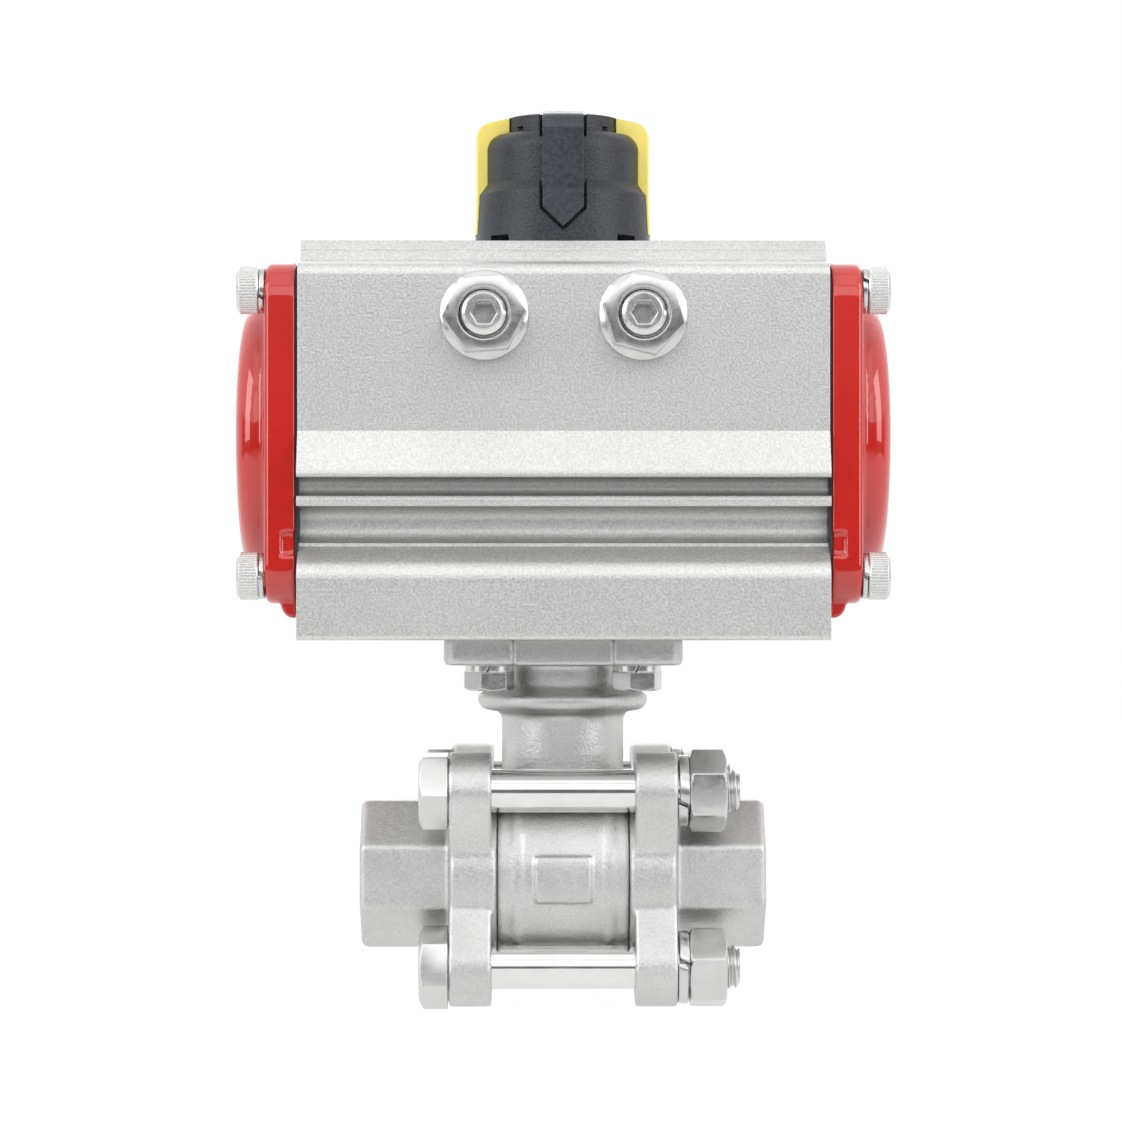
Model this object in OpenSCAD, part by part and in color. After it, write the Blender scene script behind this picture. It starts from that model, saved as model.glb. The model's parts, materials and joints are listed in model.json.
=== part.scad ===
// Pneumatic ball valve: a double-acting rack and pinion actuator on a three-piece half-inch ball valve.
// The origin is the centre of the ball. X runs along the pipe, -Y is the front, Z is up. Lengths in mm.
// The valve is drawn open: the ball's bore lies along the pipe and both pistons are at the outer ends.

/* [Valve body and pipe ends] */
// length over the two pipe ends
face_to_face = 74; // [73:0.5:80]
// width across the flats of the octagonal pipe ends
end_flats = 27; // [26:0.5:29]
// core radius of the pipe thread
thread_core_r = 9.3; // [9:0.05:9.5]
// depth of the pipe thread
thread_depth = 15; // [13:0.5:16]
// radius of the flow bore through ball, seats and ends
flow_bore_r = 7.5; // [6.8:0.1:7.8]
// half the length of the centre body
body_half = 12; // [11.8:0.1:12.4]
// outer radius of the centre body; the end flanges and tie bolts follow it
body_r = 18.3; // [17:0.1:21]
// half the width of the waist turned into the centre body
waist_half = 6.7; // [5.5:0.1:8]
// distance from the ball's centre to the outer face of an end flange
cap_face = 20.6; // [20:0.1:21.6]
// how far the round part of the end flange stands out over the centre body
flange_step = 0.7; // [0.3:0.1:1.2]
// gap between the centre body and a tie bolt
tie_gap = 0.25; // [0.2:0.05:1]
// radius of the lug around a tie bolt
lug_r = 7.1; // [6.8:0.1:7.8]
// radius of the rounded edge around the outer face of a pipe end
end_round = 1.1; // [0.6:0.1:2]

/* [Tie bolts] */
// shank radius of a tie bolt
tie_r = 3.95; // [3.7:0.05:4]
// width across the flats of its head and nut
tie_flats = 13; // [12.7:0.1:13.4]
// height of the bolt head
tie_head = 5.2; // [4.6:0.1:5.8]
// height of the nut
tie_nut = 6.7; // [6:0.1:7.4]
// thickness of the spring washer
tie_washer = 2.1; // [1.6:0.1:2.4]
// length of thread that shows past the nut
tie_show = 2.4; // [1:0.1:4]

/* [Ball, seats and stem] */
// ball radius
ball_r = 12.5; // [12.3:0.1:12.6]
// outer radius of a seat ring
seat_r = 11.9; // [11.5:0.1:11.9]
// stem radius
stem_r = 6; // [5.6:0.1:6.2]
// width across the square on top of the stem
stem_square = 9; // [8.6:0.1:9.4]
// thickness of the tongue that turns the ball
tongue = 3.9; // [3.5:0.1:4.5]

/* [Neck and mounting pad] */
// neck radius
neck_r = 11.25; // [11.1:0.05:12]
// radius of the collar under the pad bolts
collar_r = 15.7; // [15:0.1:16.5]
// height of the collar's top
collar_top = 33; // [32.6:0.1:33.2]
// radius of the column between collar and pad
column_r = 12.6; // [12.2:0.1:13]
// side of the square mounting pad
pad_side = 43; // [41:0.5:45]
// thickness of the mounting pad
pad_thick = 4.8; // [4.4:0.1:5]
// radius of the pad's corners
pad_corner = 2.6; // [2:0.1:6]
// distance between neighbouring pad bolts
pad_pitch = 26.8; // [26.6:0.1:29]
// thickness of a pad bolt's spring washer
pad_washer = 1.3; // [1:0.1:1.6]
// height of a pad bolt's head
pad_head = 3.4; // [3:0.1:4]
// width of the shallow recess in the middle of each pad side
pad_recess = 18; // [14:0.5:19]

/* [Actuator body] */
// height of the pad's top and the actuator's underside
act_base = 43.5; // [43.5:0.1:44]
// height of the actuator body
act_height = 71.5; // [71.5:0.1:73]
// length of the actuator body
act_length = 94; // [94:0.5:98]
// height of the cylinder's axis over the underside
bore_rise = 36.7; // [36.5:0.1:37]
// cylinder radius
bore_r = 26; // [26:0.05:26.3]
// how far the lips stand out over the upper side faces
lip_out = 3.1; // [2.8:0.1:4]
// half the depth of the raised top
top_depth = 22.6; // [21:0.1:23.4]
// depth of the air ports
port_depth = 6.5; // [6:0.1:7]
// distance between the two air ports
port_pitch = 24; // [23.5:0.1:24.5]
// core radius of an air port's thread
port_r = 4.3; // [4.1:0.05:4.4]

/* [End covers] */
// side of the square cover plate; the actuator's depth and the cover screws follow it
plate_side = 60.8; // [57:0.1:68]
// corner radius of the cover plate
plate_corner = 6.5; // [5:0.1:8]
// thickness of the cover plate
plate_thick = 5.5; // [5:0.1:6.5]
// thickness of the flat gasket behind it
gasket = 0.5; // [0.4:0.1:0.8]
// radius of the round boss
boss_r = 26.5; // [25.5:0.1:27.4]
// how far the boss stands out of the plate
boss_out = 5.6; // [5:0.1:7]
// distance of a cover screw's axis from the plate's edge
screw_edge = 5; // [4.5:0.1:5.5]
// radius of a cover screw's head
cover_head_r = 4.25; // [4:0.05:4.4]
// height of a cover screw's head
cover_head = 3.9; // [3.5:0.1:5]

/* [Racks, pinion and stop] */
// number of pinion teeth
teeth = 12; // [12:1:12]
// tooth module
gear_module = 1.5; // [1.48:0.01:1.5]
// thickness of a piston's crown
crown = 11; // [10.6:0.1:11]
// half the height of a rack
rack_half = 9; // [8:0.1:9.5]
// distance of each stop screw from the middle
stop_x = 14; // [13.8:0.1:14]
// height of the stop screws over the cylinder's axis
stop_rise = 20.6; // [20.5:0.1:21]
// stop screw radius
stop_r = 3.95; // [3.7:0.05:3.95]
// distance of the stop faces from the pinion's axis
stop_face = 6; // [5.8:0.1:6.2]
// radius of the stop cam
cam_r = 16; // [15.5:0.1:16]

/* [Position indicator] */
// outer radius of the indicator's coloured bars and pointer
bar_r = 16.1; // [15.7:0.1:16.6]
// radius of the indicator's cup
cup_r = 14.3; // [14:0.1:14.6]
// width of the pointer and of the coloured bars
pointer_width = 7.4; // [6.8:0.1:8]
// height of the indicator's rounded top over the actuator
indicator_height = 25.2; // [24.8:0.1:25.8]
// height of the cup's top over the actuator
cup_height = 21.1; // [20.6:0.1:21.6]
// gap around the pointer's ends
pointer_gap = 0.55; // [0.3:0.05:0.7]

/* [Hidden] */
$fn = 48;
end_x = face_to_face / 2;
waist_r = body_r - 0.5;
flange_r = body_r + flange_step;
lug_pos = (body_r + tie_gap + tie_r) / sqrt(2);
cavity_r = ball_r + 0.9;
seal_r = 15.9;
seat_back = body_half + 1;
packing_low = collar_top - 13;
gland_low = packing_low + 6;
pad_base = act_base - pad_thick;
chamber_r = stem_r + 2.7;
nut_r = stem_r + 4.2;
bore_z = act_base + bore_rise;
act_top = act_base + act_height;
act_end = act_length / 2;
act_gap = 0.3;
plate_x = act_end + gasket;
plate_face = plate_x + plate_thick;
boss_face = plate_face + boss_out;
cover_pos = plate_side / 2 - screw_edge;
face_depth = plate_side / 2;
lip_depth = face_depth + lip_out;
pitch_r = gear_module * teeth / 2;
pitch = 3.14159265 * gear_module;
travel = pitch_r * 3.14159265 / 2;
pressure = 25;
base_r = pitch_r * cos(pressure);
tip_r = pitch_r + 0.93 * gear_module;
root_r = pitch_r - 1.25 * gear_module;
half_tooth = pitch / 4 - 0.04;
rack_tip = pitch_r - 0.95 * gear_module;
rack_root = pitch_r + 1.25 * gear_module;
rack_back = 20.5;
spigot = 3.2;
crown_out = act_end - spigot - 0.3;
crown_in = crown_out - crown;
piston_r = bore_r - 0.12;
stop_z = bore_z + stop_rise;
cam_low = bore_z + 14;
cam_high = bore_z + 20;
journal_r = 11;
shaft_r = 9;
top_r = 7.8;
shaft_top = act_top + 19;
ind_base = act_top + act_gap;
skirt_top = act_top + 9.8;
cup_top = act_top + cup_height;
disc_r = 10.3;
half_pointer = pointer_width / 2;

// Helpers: round bars along X and Y, tubes, hexagons and copies at the corners of a square.
module along_x() {
  rotate([0, 90, 0]) children();
}
module bar_x(r, x0, x1) {
  translate([x0, 0, 0]) rotate([0, 90, 0]) cylinder(r = r, h = x1 - x0);
}
module bar_y(r, y0, y1) {
  translate([0, y0, 0]) rotate([-90, 0, 0]) cylinder(r = r, h = y1 - y0);
}
module bar_z(r, z0, z1) {
  translate([0, 0, z0]) cylinder(r = r, h = z1 - z0);
}
module tube_x(ro, ri, x0, x1) {
  difference() {
    bar_x(ro, x0, x1);
    bar_x(ri, x0 - 1, x1 + 1);
  }
}
module tube_z(ro, ri, z0, z1) {
  difference() {
    bar_z(ro, z0, z1);
    bar_z(ri, z0 - 1, z1 + 1);
  }
}
module hex_x(flats, x0, x1, turn) {
  translate([x0, 0, 0]) rotate([0, 90, 0]) rotate([0, 0, -90 - turn])
    cylinder(r = flats / 2 / cos(30), h = x1 - x0, $fn = 6);
}
module hex_z(flats, z0, z1, turn) {
  translate([0, 0, z0]) rotate([0, 0, turn]) cylinder(r = flats / 2 / cos(30), h = z1 - z0, $fn = 6);
}
module corners_x(p) {
  for (sy = [-1, 1], sz = [-1, 1]) translate([0, sy * p, sz * p]) children();
}
module corners_z(p) {
  for (sx = [-1, 1], sy = [-1, 1]) translate([sx * p, sy * p, 0]) children();
}
module round_square(s, r) {
  square([s - 2 * r, s], center = true);
  square([s, s - 2 * r], center = true);
  for (sx = [-1, 1], sy = [-1, 1]) translate([sx * (s / 2 - r), sy * (s / 2 - r)]) circle(r = r);
}
// A square plate on the XY plane whose upper edge is rounded all the way round.
module soft_plate(s, r, h, e) {
  for (a = [0, 90]) rotate(a) translate([r - s / 2, 0, 0]) rotate([90, 0, 90])
    linear_extrude(s - 2 * r) {
      translate([-s / 2, 0]) square([s, h - e]);
      translate([e - s / 2, 0]) square([s - 2 * e, h]);
      for (t = [-1, 1]) translate([t * (s / 2 - e), h - e]) circle(r = e);
    }
  corners_z(s / 2 - r) rotate_extrude() {
    square([r, h - e]);
    square([r - e, h]);
    translate([r - e, h - e]) circle(r = e);
  }
}

// Cast centre body with neck, collar, column and mounting pad in one piece.
module valve_body() {
  color("#c2c0ba") difference() {
    union() {
      along_x() rotate_extrude() polygon([
        [0, -body_half], [body_r - 0.4, -body_half], [body_r, 0.4 - body_half],
        [body_r, -waist_half - 1.2], [waist_r, -waist_half], [waist_r, waist_half],
        [body_r, waist_half + 1.2], [body_r, body_half - 0.4], [body_r - 0.4, body_half],
        [0, body_half]]);
      intersection() {
        bar_x(body_r + 0.3, -5.1, 5.1);
        translate([-5.1, -body_r - 2, -4.15]) cube([10.2, 6, 8.3]);
      }
      bar_z(neck_r, 0, collar_top - 1);
      bar_z(column_r, collar_top - 2, act_base - 1);
      rotate_extrude() collar_outline();
      translate([0, 0, act_base]) mirror([0, 0, 1]) difference() {
        soft_plate(pad_side, pad_corner, pad_thick, 0.8);
        for (a = [0, 90, 180, 270]) rotate(a) translate([pad_side / 2 - 1.1, -pad_recess / 2, -1])
          cube([3, pad_recess, pad_thick + 2]);
      }
    }
    bar_x(cavity_r, -body_half - 1, body_half + 1);
    for (s = [-1, 1]) scale([s, 1, 1]) bar_x(seal_r + 0.05, body_half - 1.5, body_half + 1);
    bar_z(stem_r + 1.5, 0, ball_r + 3.1);
    bar_z(stem_r + 0.05, 0, packing_low + 4);
    bar_z(chamber_r, packing_low, collar_top + 1);
    bar_z(nut_r, collar_top - 0.2, act_base + 1);
    corners_z(pad_pitch / 2) bar_z(2.75, pad_base - 1, act_base + 1);
  }
}
// Half the collar's section: a soft upper edge, a round belly below and a fillet down to the neck.
module collar_outline() {
  belly = collar_r - 2.1;
  foot = neck_r + 1.6;
  polygon(concat(
    [[0, collar_top + 1.6], [column_r, collar_top + 1.6],
      [collar_r - 0.7, collar_top + 0.1], [collar_r - 0.2, collar_top - 0.1],
      [collar_r, collar_top - 0.6]],
    [for (a = [0:15:75]) [belly + 2.1 * cos(a), collar_top - 1 - 2.1 * sin(a)]],
    [for (a = [0:18:90]) [foot - 1.6 * sin(a), collar_top - 4.7 + 1.6 * cos(a)]],
    [[0, collar_top - 4.7]]));
}

// One lug's outline: a circle around the bolt joined by its tangents to the round flange.
root_y = (flange_r - 0.06) * cos(15);
root_z = (flange_r - 0.06) * sin(15);
reach = sqrt(pow(root_y - lug_pos, 2) + pow(root_z - lug_pos, 2));
aim = atan2(root_z - lug_pos, root_y - lug_pos) + acos(lug_r / reach);
tang = [lug_pos + lug_r * cos(aim), lug_pos + lug_r * sin(aim)];
module lug_outline() {
  translate([lug_pos, lug_pos]) circle(r = lug_r);
  polygon([[0, 0], [root_y, root_z], tang, [tang[1], tang[0]], [root_z, root_y]]);
}
// Right-hand pipe end: flange with four lugs, octagonal end, threaded socket and seat pocket.
module end_cap() {
  difference() {
    union() {
      along_x() rotate_extrude() polygon([
        [0, body_half], [flange_r - 0.4, body_half], [flange_r, body_half + 0.4],
        [flange_r, cap_face - 0.6], [flange_r - 0.6, cap_face], [0, cap_face]]);
      for (a = [0, 90, 180, 270]) rotate([a, 0, 0]) translate([body_half + 0.9, 0, 0])
        rotate([90, 0, 90]) linear_extrude(cap_face - body_half - 0.9) lug_outline();
      tube_x(cavity_r - 0.1, seat_r + 0.1, body_half - 2.6, body_half + 2);
      intersection() {
        end_slab();
        rotate([45, 0, 0]) end_slab();
        rotate([90, 0, 0]) end_slab();
        rotate([135, 0, 0]) end_slab();
      }
    }
    bar_x(flow_bore_r, body_half - 4, end_x);
    bar_x(seat_r + 0.1, body_half - 4, seat_back);
    bar_x(thread_core_r, end_x - thread_depth, end_x + 1);
    bar_x(thread_core_r + 0.5, end_x - thread_depth, end_x - thread_depth + 1.2);
    bar_x(thread_core_r + 1.2, end_x - 1.1, end_x + 1);
    corners_x(lug_pos) bar_x(tie_r + 0.2, body_half - 1, cap_face + 1);
  }
}
// A slab between two opposite flats; its outer edges are rounded. Four of them make the octagon.
module end_slab() {
  half = end_flats / 2;
  long = end_x - cap_face + 1;
  translate([cap_face - 1, 30, 0]) rotate([90, 0, 0]) linear_extrude(60) {
    translate([0, -half]) square([long - end_round, end_flats]);
    translate([0, end_round - half]) square([long, end_flats - 2 * end_round]);
    for (s = [-1, 1]) translate([long - end_round, s * (half - end_round)]) circle(r = end_round);
  }
}
module end_cap_right() {
  color("#c6c4be") end_cap();
}
module end_cap_left() {
  color("#c6c4be") mirror([1, 0, 0]) end_cap();
}

module ball() {
  color("#dcdcdc") difference() {
    sphere(r = ball_r, $fn = 64);
    bar_x(flow_bore_r, -20, 20);
    translate([-tongue / 2 - 0.1, -ball_r, ball_r - 3.1]) cube([tongue + 0.2, 2 * ball_r, 5]);
  }
}
module seat() {
  difference() {
    tube_x(seat_r, flow_bore_r + 0.1, body_half - 3.8, seat_back);
    sphere(r = ball_r + 0.05, $fn = 64);
  }
}
module seat_right() {
  color("#f4f2ec") seat();
}
module seat_left() {
  color("#f4f2ec") mirror([1, 0, 0]) seat();
}
module body_seal_right() {
  color("#f4f2ec") tube_x(seal_r, cavity_r + 0.05, body_half - 1.5, body_half);
}
module body_seal_left() {
  color("#f4f2ec") mirror([1, 0, 0]) body_seal_right();
}

// Stem: tongue in the ball's slot, blow-out proof shoulder, shaft and square end.
module stem() {
  color("#cfcfcf") {
    bar_z(stem_r + 1.4, ball_r + 0.2, ball_r + 2.1);
    intersection() {
      bar_z(stem_r + 1.4, ball_r - 2.8, ball_r + 1);
      translate([-tongue / 2, -10, ball_r - 2.8]) cube([tongue, 20, 4]);
    }
    bar_z(stem_r, ball_r + 1, act_base - 3.3);
    intersection() {
      bar_z(stem_r, ball_r + 20, act_base + 9.5);
      translate([-stem_square / 2, -stem_square / 2, ball_r + 20])
        cube([stem_square, stem_square, act_base + 9.5 - ball_r - 20]);
    }
  }
}
module stem_thrust_washer() {
  color("#f4f2ec") tube_z(stem_r + 1.4, stem_r + 0.1, ball_r + 2.12, ball_r + 3.08);
}
module stem_packing() {
  color("#f0eee6") for (i = [0, 1, 2]) rotate_extrude() polygon([
    [stem_r + 0.03, packing_low + 2 * i], [chamber_r - 0.02, packing_low + 2 * i],
    [chamber_r - 0.02, packing_low + 1.97 + 2 * i], [stem_r + 0.03, packing_low + 1.97 + 2 * i]]);
}
module gland_ring() {
  color("#bdbdbd") tube_z(chamber_r - 0.05, stem_r + 0.05, gland_low, gland_low + 4);
}
module stem_springs() {
  ri = stem_r + 0.1;
  ro = chamber_r - 0.1;
  z = gland_low + 4.02;
  color("#8f8f8f") {
    rotate_extrude() polygon([[ro, z], [ro, z + 0.8], [ri, z + 1.35], [ri, z + 0.55]]);
    rotate_extrude() polygon([[ri, z + 1.35], [ri, z + 2.15], [ro, z + 2.7], [ro, z + 1.9]]);
  }
}
module stem_nut() {
  color("#c8c8c8") difference() {
    intersection() {
      hex_z(17, collar_top - 0.15, collar_top + 5, 15);
      bar_z(nut_r - 0.4, collar_top - 1, act_base + 2);
    }
    bar_z(stem_r + 0.01, collar_top - 1, act_base + 2);
  }
}

// Tie bolts: each entry is the side in Y, the side in Z and the turn of head and nut.
tie_set = [[-1, 1, 4, 28], [-1, -1, 20, 16], [1, 1, 7, 40], [1, -1, 33, 5]];
head_r = tie_flats / 2 / cos(30) + 0.1;
module tie_bolts() {
  tip = cap_face + tie_washer + tie_nut + tie_show;
  color("#d9d9d9") for (b = tie_set) translate([0, b[0] * lug_pos, b[1] * lug_pos]) {
    intersection() {
      hex_x(tie_flats, -cap_face - 0.2 - tie_head, -cap_face - 0.2, b[2]);
      along_x() rotate_extrude() polygon([
        [0, -cap_face], [head_r, -cap_face], [head_r, 0.7 - cap_face - tie_head],
        [head_r - 1.4, -cap_face - tie_head - 0.2], [0, -cap_face - tie_head - 0.2]]);
    }
    along_x() rotate_extrude() polygon([
      [0, -cap_face - 0.4], [tie_flats / 2 - 0.4, -cap_face - 0.4], [tie_flats / 2 - 0.4, -cap_face],
      [tie_r, -cap_face], [tie_r, tip - 0.8], [tie_r - 0.8, tip], [0, tip]]);
  }
}
module tie_bolt_washers() {
  color("#cfcfcf") for (b = tie_set) translate([0, b[0] * lug_pos, b[1] * lug_pos]) difference() {
    tube_x(tie_flats / 2, tie_r + 0.15, cap_face, cap_face + tie_washer);
    rotate([b[0] * b[1] * 20, 0, 0]) translate([cap_face + tie_washer / 2, b[0] * 5.5, 0])
      rotate([0, 25, 0]) cube([8, 6, 0.5], center = true);
  }
}
module tie_bolt_nuts() {
  x0 = cap_face + tie_washer;
  color("#d2d2d2") for (b = tie_set) translate([0, b[0] * lug_pos, b[1] * lug_pos]) difference() {
    intersection() {
      hex_x(tie_flats, x0, x0 + tie_nut, b[3]);
      along_x() rotate_extrude() polygon([
        [0, x0], [head_r - 1.3, x0], [head_r, x0 + 0.7], [head_r, x0 + tie_nut - 0.7],
        [head_r - 1.3, x0 + tie_nut], [0, x0 + tie_nut]]);
    }
    bar_x(tie_r + 0.03, x0 - 1, x0 + tie_nut + 1);
    translate([x0 + tie_nut - 0.6, 0, 0]) rotate([0, 90, 0])
      cylinder(r1 = tie_r + 0.03, r2 = tie_r + 0.7, h = 0.67);
  }
}
module pad_bolts() {
  head_low = pad_base - pad_washer - pad_head;
  color("#cdcdcd") corners_z(pad_pitch / 2) {
    intersection() {
      hex_z(8, head_low, head_low + pad_head, 13);
      rotate_extrude() polygon([
        [0, head_low], [3.9, head_low], [4.7, head_low + 0.45], [4.7, head_low + pad_head],
        [0, head_low + pad_head]]);
    }
    rotate_extrude() polygon([
      [0, pad_base - 2], [2.45, pad_base - 2], [2.45, act_base + 6.5], [1.9, act_base + 7],
      [0, act_base + 7]]);
  }
}
module pad_bolt_washers() {
  color("#c4c4c4") corners_z(pad_pitch / 2) difference() {
    tube_z(4.4, 2.6, pad_base - pad_washer, pad_base);
    translate([0, -5, pad_base - pad_washer / 2]) rotate([0, 25, 0]) cube([0.4, 6, 4], center = true);
  }
}

// Extruded actuator body. The outline is drawn for one side and mirrored.
module side_outline() {
  low = lip_depth - 0.4;
  difference() {
    union() {
      polygon([
        [-1, act_base], [low - 1, act_base], [low, act_base + 1],
        [low, act_base + 10.8], [low - 1.43, act_base + 13.86], [low - 4.2, act_base + 16.17],
        [low - 4.7, act_base + 16.6], [low - 4.7, act_base + 17.1], [low, act_base + 23.6],
        [lip_depth, act_base + 24], [lip_depth, act_base + 24.9], [lip_depth - 0.5, act_base + 25.4],
        [lip_depth - 0.5, act_base + 28.7], [lip_depth, act_base + 29.3],
        [lip_depth - 0.1, act_base + 29.9], [face_depth, act_base + 36.9],
        [face_depth, act_top - 6.91], [face_depth - 1.894, act_top - 4.733],
        [top_depth, act_top - 3.9], [top_depth, act_top - 3.5], [top_depth - 1.2, act_top - 2],
        [top_depth - 1.6, act_top - 2], [top_depth - 1.6, act_top - 1.6], [top_depth - 3, act_top],
        [-1, act_top]]);
      translate([low - 4, act_base + 10.8]) circle(r = 4);
      translate([low - 1, act_base + 1]) circle(r = 1);
      translate([face_depth - 2.2, act_top - 6.91]) circle(r = 2.2);
    }
    // cove under the lip
    translate([lip_depth - 5.4, act_base + 17.1]) square([20, 6.5]);
    translate([lip_depth - 8, act_base + 19.7]) square([4, 1.3]);
    for (z = [19.7, 21]) translate([lip_depth - 5.4, act_base + z]) circle(r = 2.6);
    // slot between the lips
    translate([lip_depth - 3.9, act_base + 25.4]) square([20, 3.3]);
    translate([lip_depth - 3.9, act_base + 27.05]) circle(r = 1.65);
  }
}
module actuator_body() {
  color("#cbcac6") difference() {
    translate([-act_end, 0, 0]) rotate([90, 0, 90]) linear_extrude(act_length) {
      side_outline();
      mirror([1, 0]) side_outline();
    }
    translate([0, 0, bore_z]) bar_x(bore_r, -act_end - 1, act_end + 1);
    bar_z(journal_r + 2.02, act_base - 1, bore_z - 18);
    bar_z(top_r + 2.02, bore_z + 18, act_top + 1);
    corners_z(pad_pitch / 2) bar_z(2.5, act_base - 1, act_base + 8);
    translate([0, 0, bore_z]) corners_x(cover_pos) {
      bar_x(2.5, act_end - 13, act_end + 1);
      bar_x(2.5, -act_end - 1, 13 - act_end);
    }
    for (s = [-1, 1]) {
      translate([s * stop_x, 0, stop_z]) bar_y(stop_r + 0.05, -lip_depth - 5, 1 - stop_face);
      // air port, its mounting screws and the way to the chambers
      translate([s * port_pitch / 2, 0, bore_z + 14.5]) {
        bar_y(port_r, face_depth - port_depth, face_depth + 1);
      }
      for (z = [2.5, 26.5]) translate([s * 16, 0, bore_z + z])
        bar_y(2.1, face_depth - 4.5, face_depth + 1);
      for (t = [-1, 1]) translate([s * 40, t * 15, 0]) bar_z(2.1, act_top - 8, act_top + 1);
    }
    translate([-port_pitch / 2, 0, bore_z + 14.5]) bar_y(1.5, 15, face_depth - port_depth + 1);
    translate([port_pitch / 2, face_depth - port_depth + 1.5, bore_z + 16]) rotate([34.8, 0, 0])
      cylinder(r = 1.2, h = 10.3);
    translate([0, 19, bore_z + 24.5]) bar_x(1.5, -act_end - 1, act_end + 1);
  }
}

// Right-hand end cover: square plate, round hollow boss, spigot in the cylinder, tabs and pry notch.
module cover() {
  difference() {
    union() {
      translate([plate_x, 0, bore_z]) rotate([90, 0, 90]) soft_plate(plate_side, plate_corner, plate_thick, 1.2);
      translate([0, 0, bore_z]) along_x() rotate_extrude() boss_outline();
      translate([0, 0, bore_z]) tube_x(bore_r - 0.15, 21.5, act_end - spigot, plate_x + 1);
      for (s = [-1, 1]) translate([plate_x, s * (cover_pos - 3.4), bore_z - plate_side / 2 + 0.1]) intersection() {
        bar_y(2.7, -5, 5);
        translate([0, -6, -4]) cube([4, 12, 6]);
      }
    }
    translate([0, 0, bore_z]) bar_x(21.5, act_end - spigot - 1, boss_face - 4);
    translate([0, 0, bore_z]) corners_x(cover_pos) bar_x(2.75, act_end - 1, plate_face + 1);
    for (s = [-1, 1]) translate([plate_x - 1, s * plate_side / 2 - 0.7, bore_z - 21.8])
      cube([3.4, 1.4, 4.2]);
    translate([plate_x - 0.5, 17.4, bore_z + 7]) cube([2.6, 3.2, 18.9]);
  }
}
module boss_outline() {
  e = 4.5;
  translate([0, plate_face - 2]) square([boss_r, boss_face - plate_face + 2 - e]);
  translate([0, plate_face - 2]) square([boss_r - e, boss_face - plate_face + 2]);
  translate([boss_r - e, boss_face - e]) circle(r = e);
  translate([0, plate_face - 2]) square([boss_r + 0.7, 2.6]);
}
module cover_right() {
  color("#c9281a") cover();
}
module cover_left() {
  color("#c9281a") mirror([1, 0, 0]) cover();
}
module cover_gasket_right() {
  color("#222222") difference() {
    translate([act_end, 0, bore_z]) rotate([90, 0, 90]) linear_extrude(gasket)
      round_square(plate_side - 1.2, plate_corner - 0.6);
    translate([0, 0, bore_z]) {
      bar_x(bore_r - 0.1, act_end - 1, plate_x + 1);
      corners_x(cover_pos) bar_x(2.75, act_end - 1, plate_x + 1);
      translate([0, 19, 24.5]) bar_x(1.6, act_end - 1, plate_x + 1);
    }
  }
}
module cover_gasket_left() {
  mirror([1, 0, 0]) cover_gasket_right();
}
module cover_screws() {
  x0 = plate_face + 1;
  translate([0, 0, bore_z]) corners_x(cover_pos) difference() {
    along_x() rotate_extrude() polygon([
      [0, act_end - 12], [1.9, act_end - 12], [2.45, act_end - 11.4], [2.45, x0],
      [cover_head_r, x0], [cover_head_r, x0 + cover_head - 0.6],
      [cover_head_r - 0.6, x0 + cover_head], [0, x0 + cover_head]]);
    hex_x(4, x0 + cover_head - 2.4, x0 + cover_head + 1, 10);
  }
}
module cover_screws_right() {
  color("#d0d0d0") cover_screws();
}
module cover_screws_left() {
  color("#d0d0d0") mirror([1, 0, 0]) cover_screws();
}
module cover_screw_washers() {
  color("#c6c6c6") for (s = [-1, 1]) scale([s, 1, 1]) translate([0, 0, bore_z]) corners_x(cover_pos)
    difference() {
      tube_x(4.1, 2.55, plate_face, plate_face + 1);
      translate([plate_face + 0.5, -3.5, 0]) rotate([0, 25, 0]) cube([4, 4, 0.4], center = true);
    }
}

// Right-hand piston: crown in the cylinder and a rack arm in front of the pinion.
module piston() {
  difference() {
    union() {
      translate([0, 0, bore_z]) along_x() rotate_extrude() polygon([
        [0, crown_in], [piston_r - 0.5, crown_in], [piston_r, crown_in + 0.5],
        [piston_r, crown_in + 1.5], [piston_r - 1.5, crown_in + 1.5], [piston_r - 1.5, crown_in + 5.9],
        [piston_r, crown_in + 5.9], [piston_r, crown_in + 7], [piston_r - 2.8, crown_in + 7],
        [piston_r - 2.8, crown_in + 10], [piston_r, crown_in + 10], [piston_r, crown_out - 0.5],
        [piston_r - 0.5, crown_out], [15, crown_out], [13.5, crown_out - 4], [0, crown_out - 4]]);
      translate([-4.4, -rack_back, bore_z - rack_half])
        cube([crown_in + 5, rack_back - rack_root, 2 * rack_half]);
      translate([0, 0, bore_z - rack_half]) linear_extrude(2 * rack_half) rack_teeth();
    }
    translate([crown_in - 1, rack_tip - 0.5, bore_z - rack_half - 0.5])
      cube([1.8, rack_back - rack_tip + 1, 2 * rack_half + 1]);
  }
}
module rack_teeth() {
  tip_w = half_tooth - (pitch_r - rack_tip) * tan(pressure);
  root_w = half_tooth + (rack_root - pitch_r) * tan(pressure);
  for (i = [-1:6]) translate([(i + 0.5) * pitch, 0]) polygon([
    [-root_w, -rack_root - 0.5], [root_w, -rack_root - 0.5], [root_w, -rack_root],
    [tip_w, -rack_tip], [-tip_w, -rack_tip], [-root_w, -rack_root]]);
}
module piston_seal() {
  translate([0, 0, bore_z]) along_x() rotate_extrude() translate([bore_r - 1.47, crown_in + 8.5])
    circle(r = 1.4);
}
module piston_band() {
  translate([0, 0, bore_z]) tube_x(bore_r - 0.06, piston_r - 1.45, crown_in + 1.55, crown_in + 5.85);
}
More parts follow.
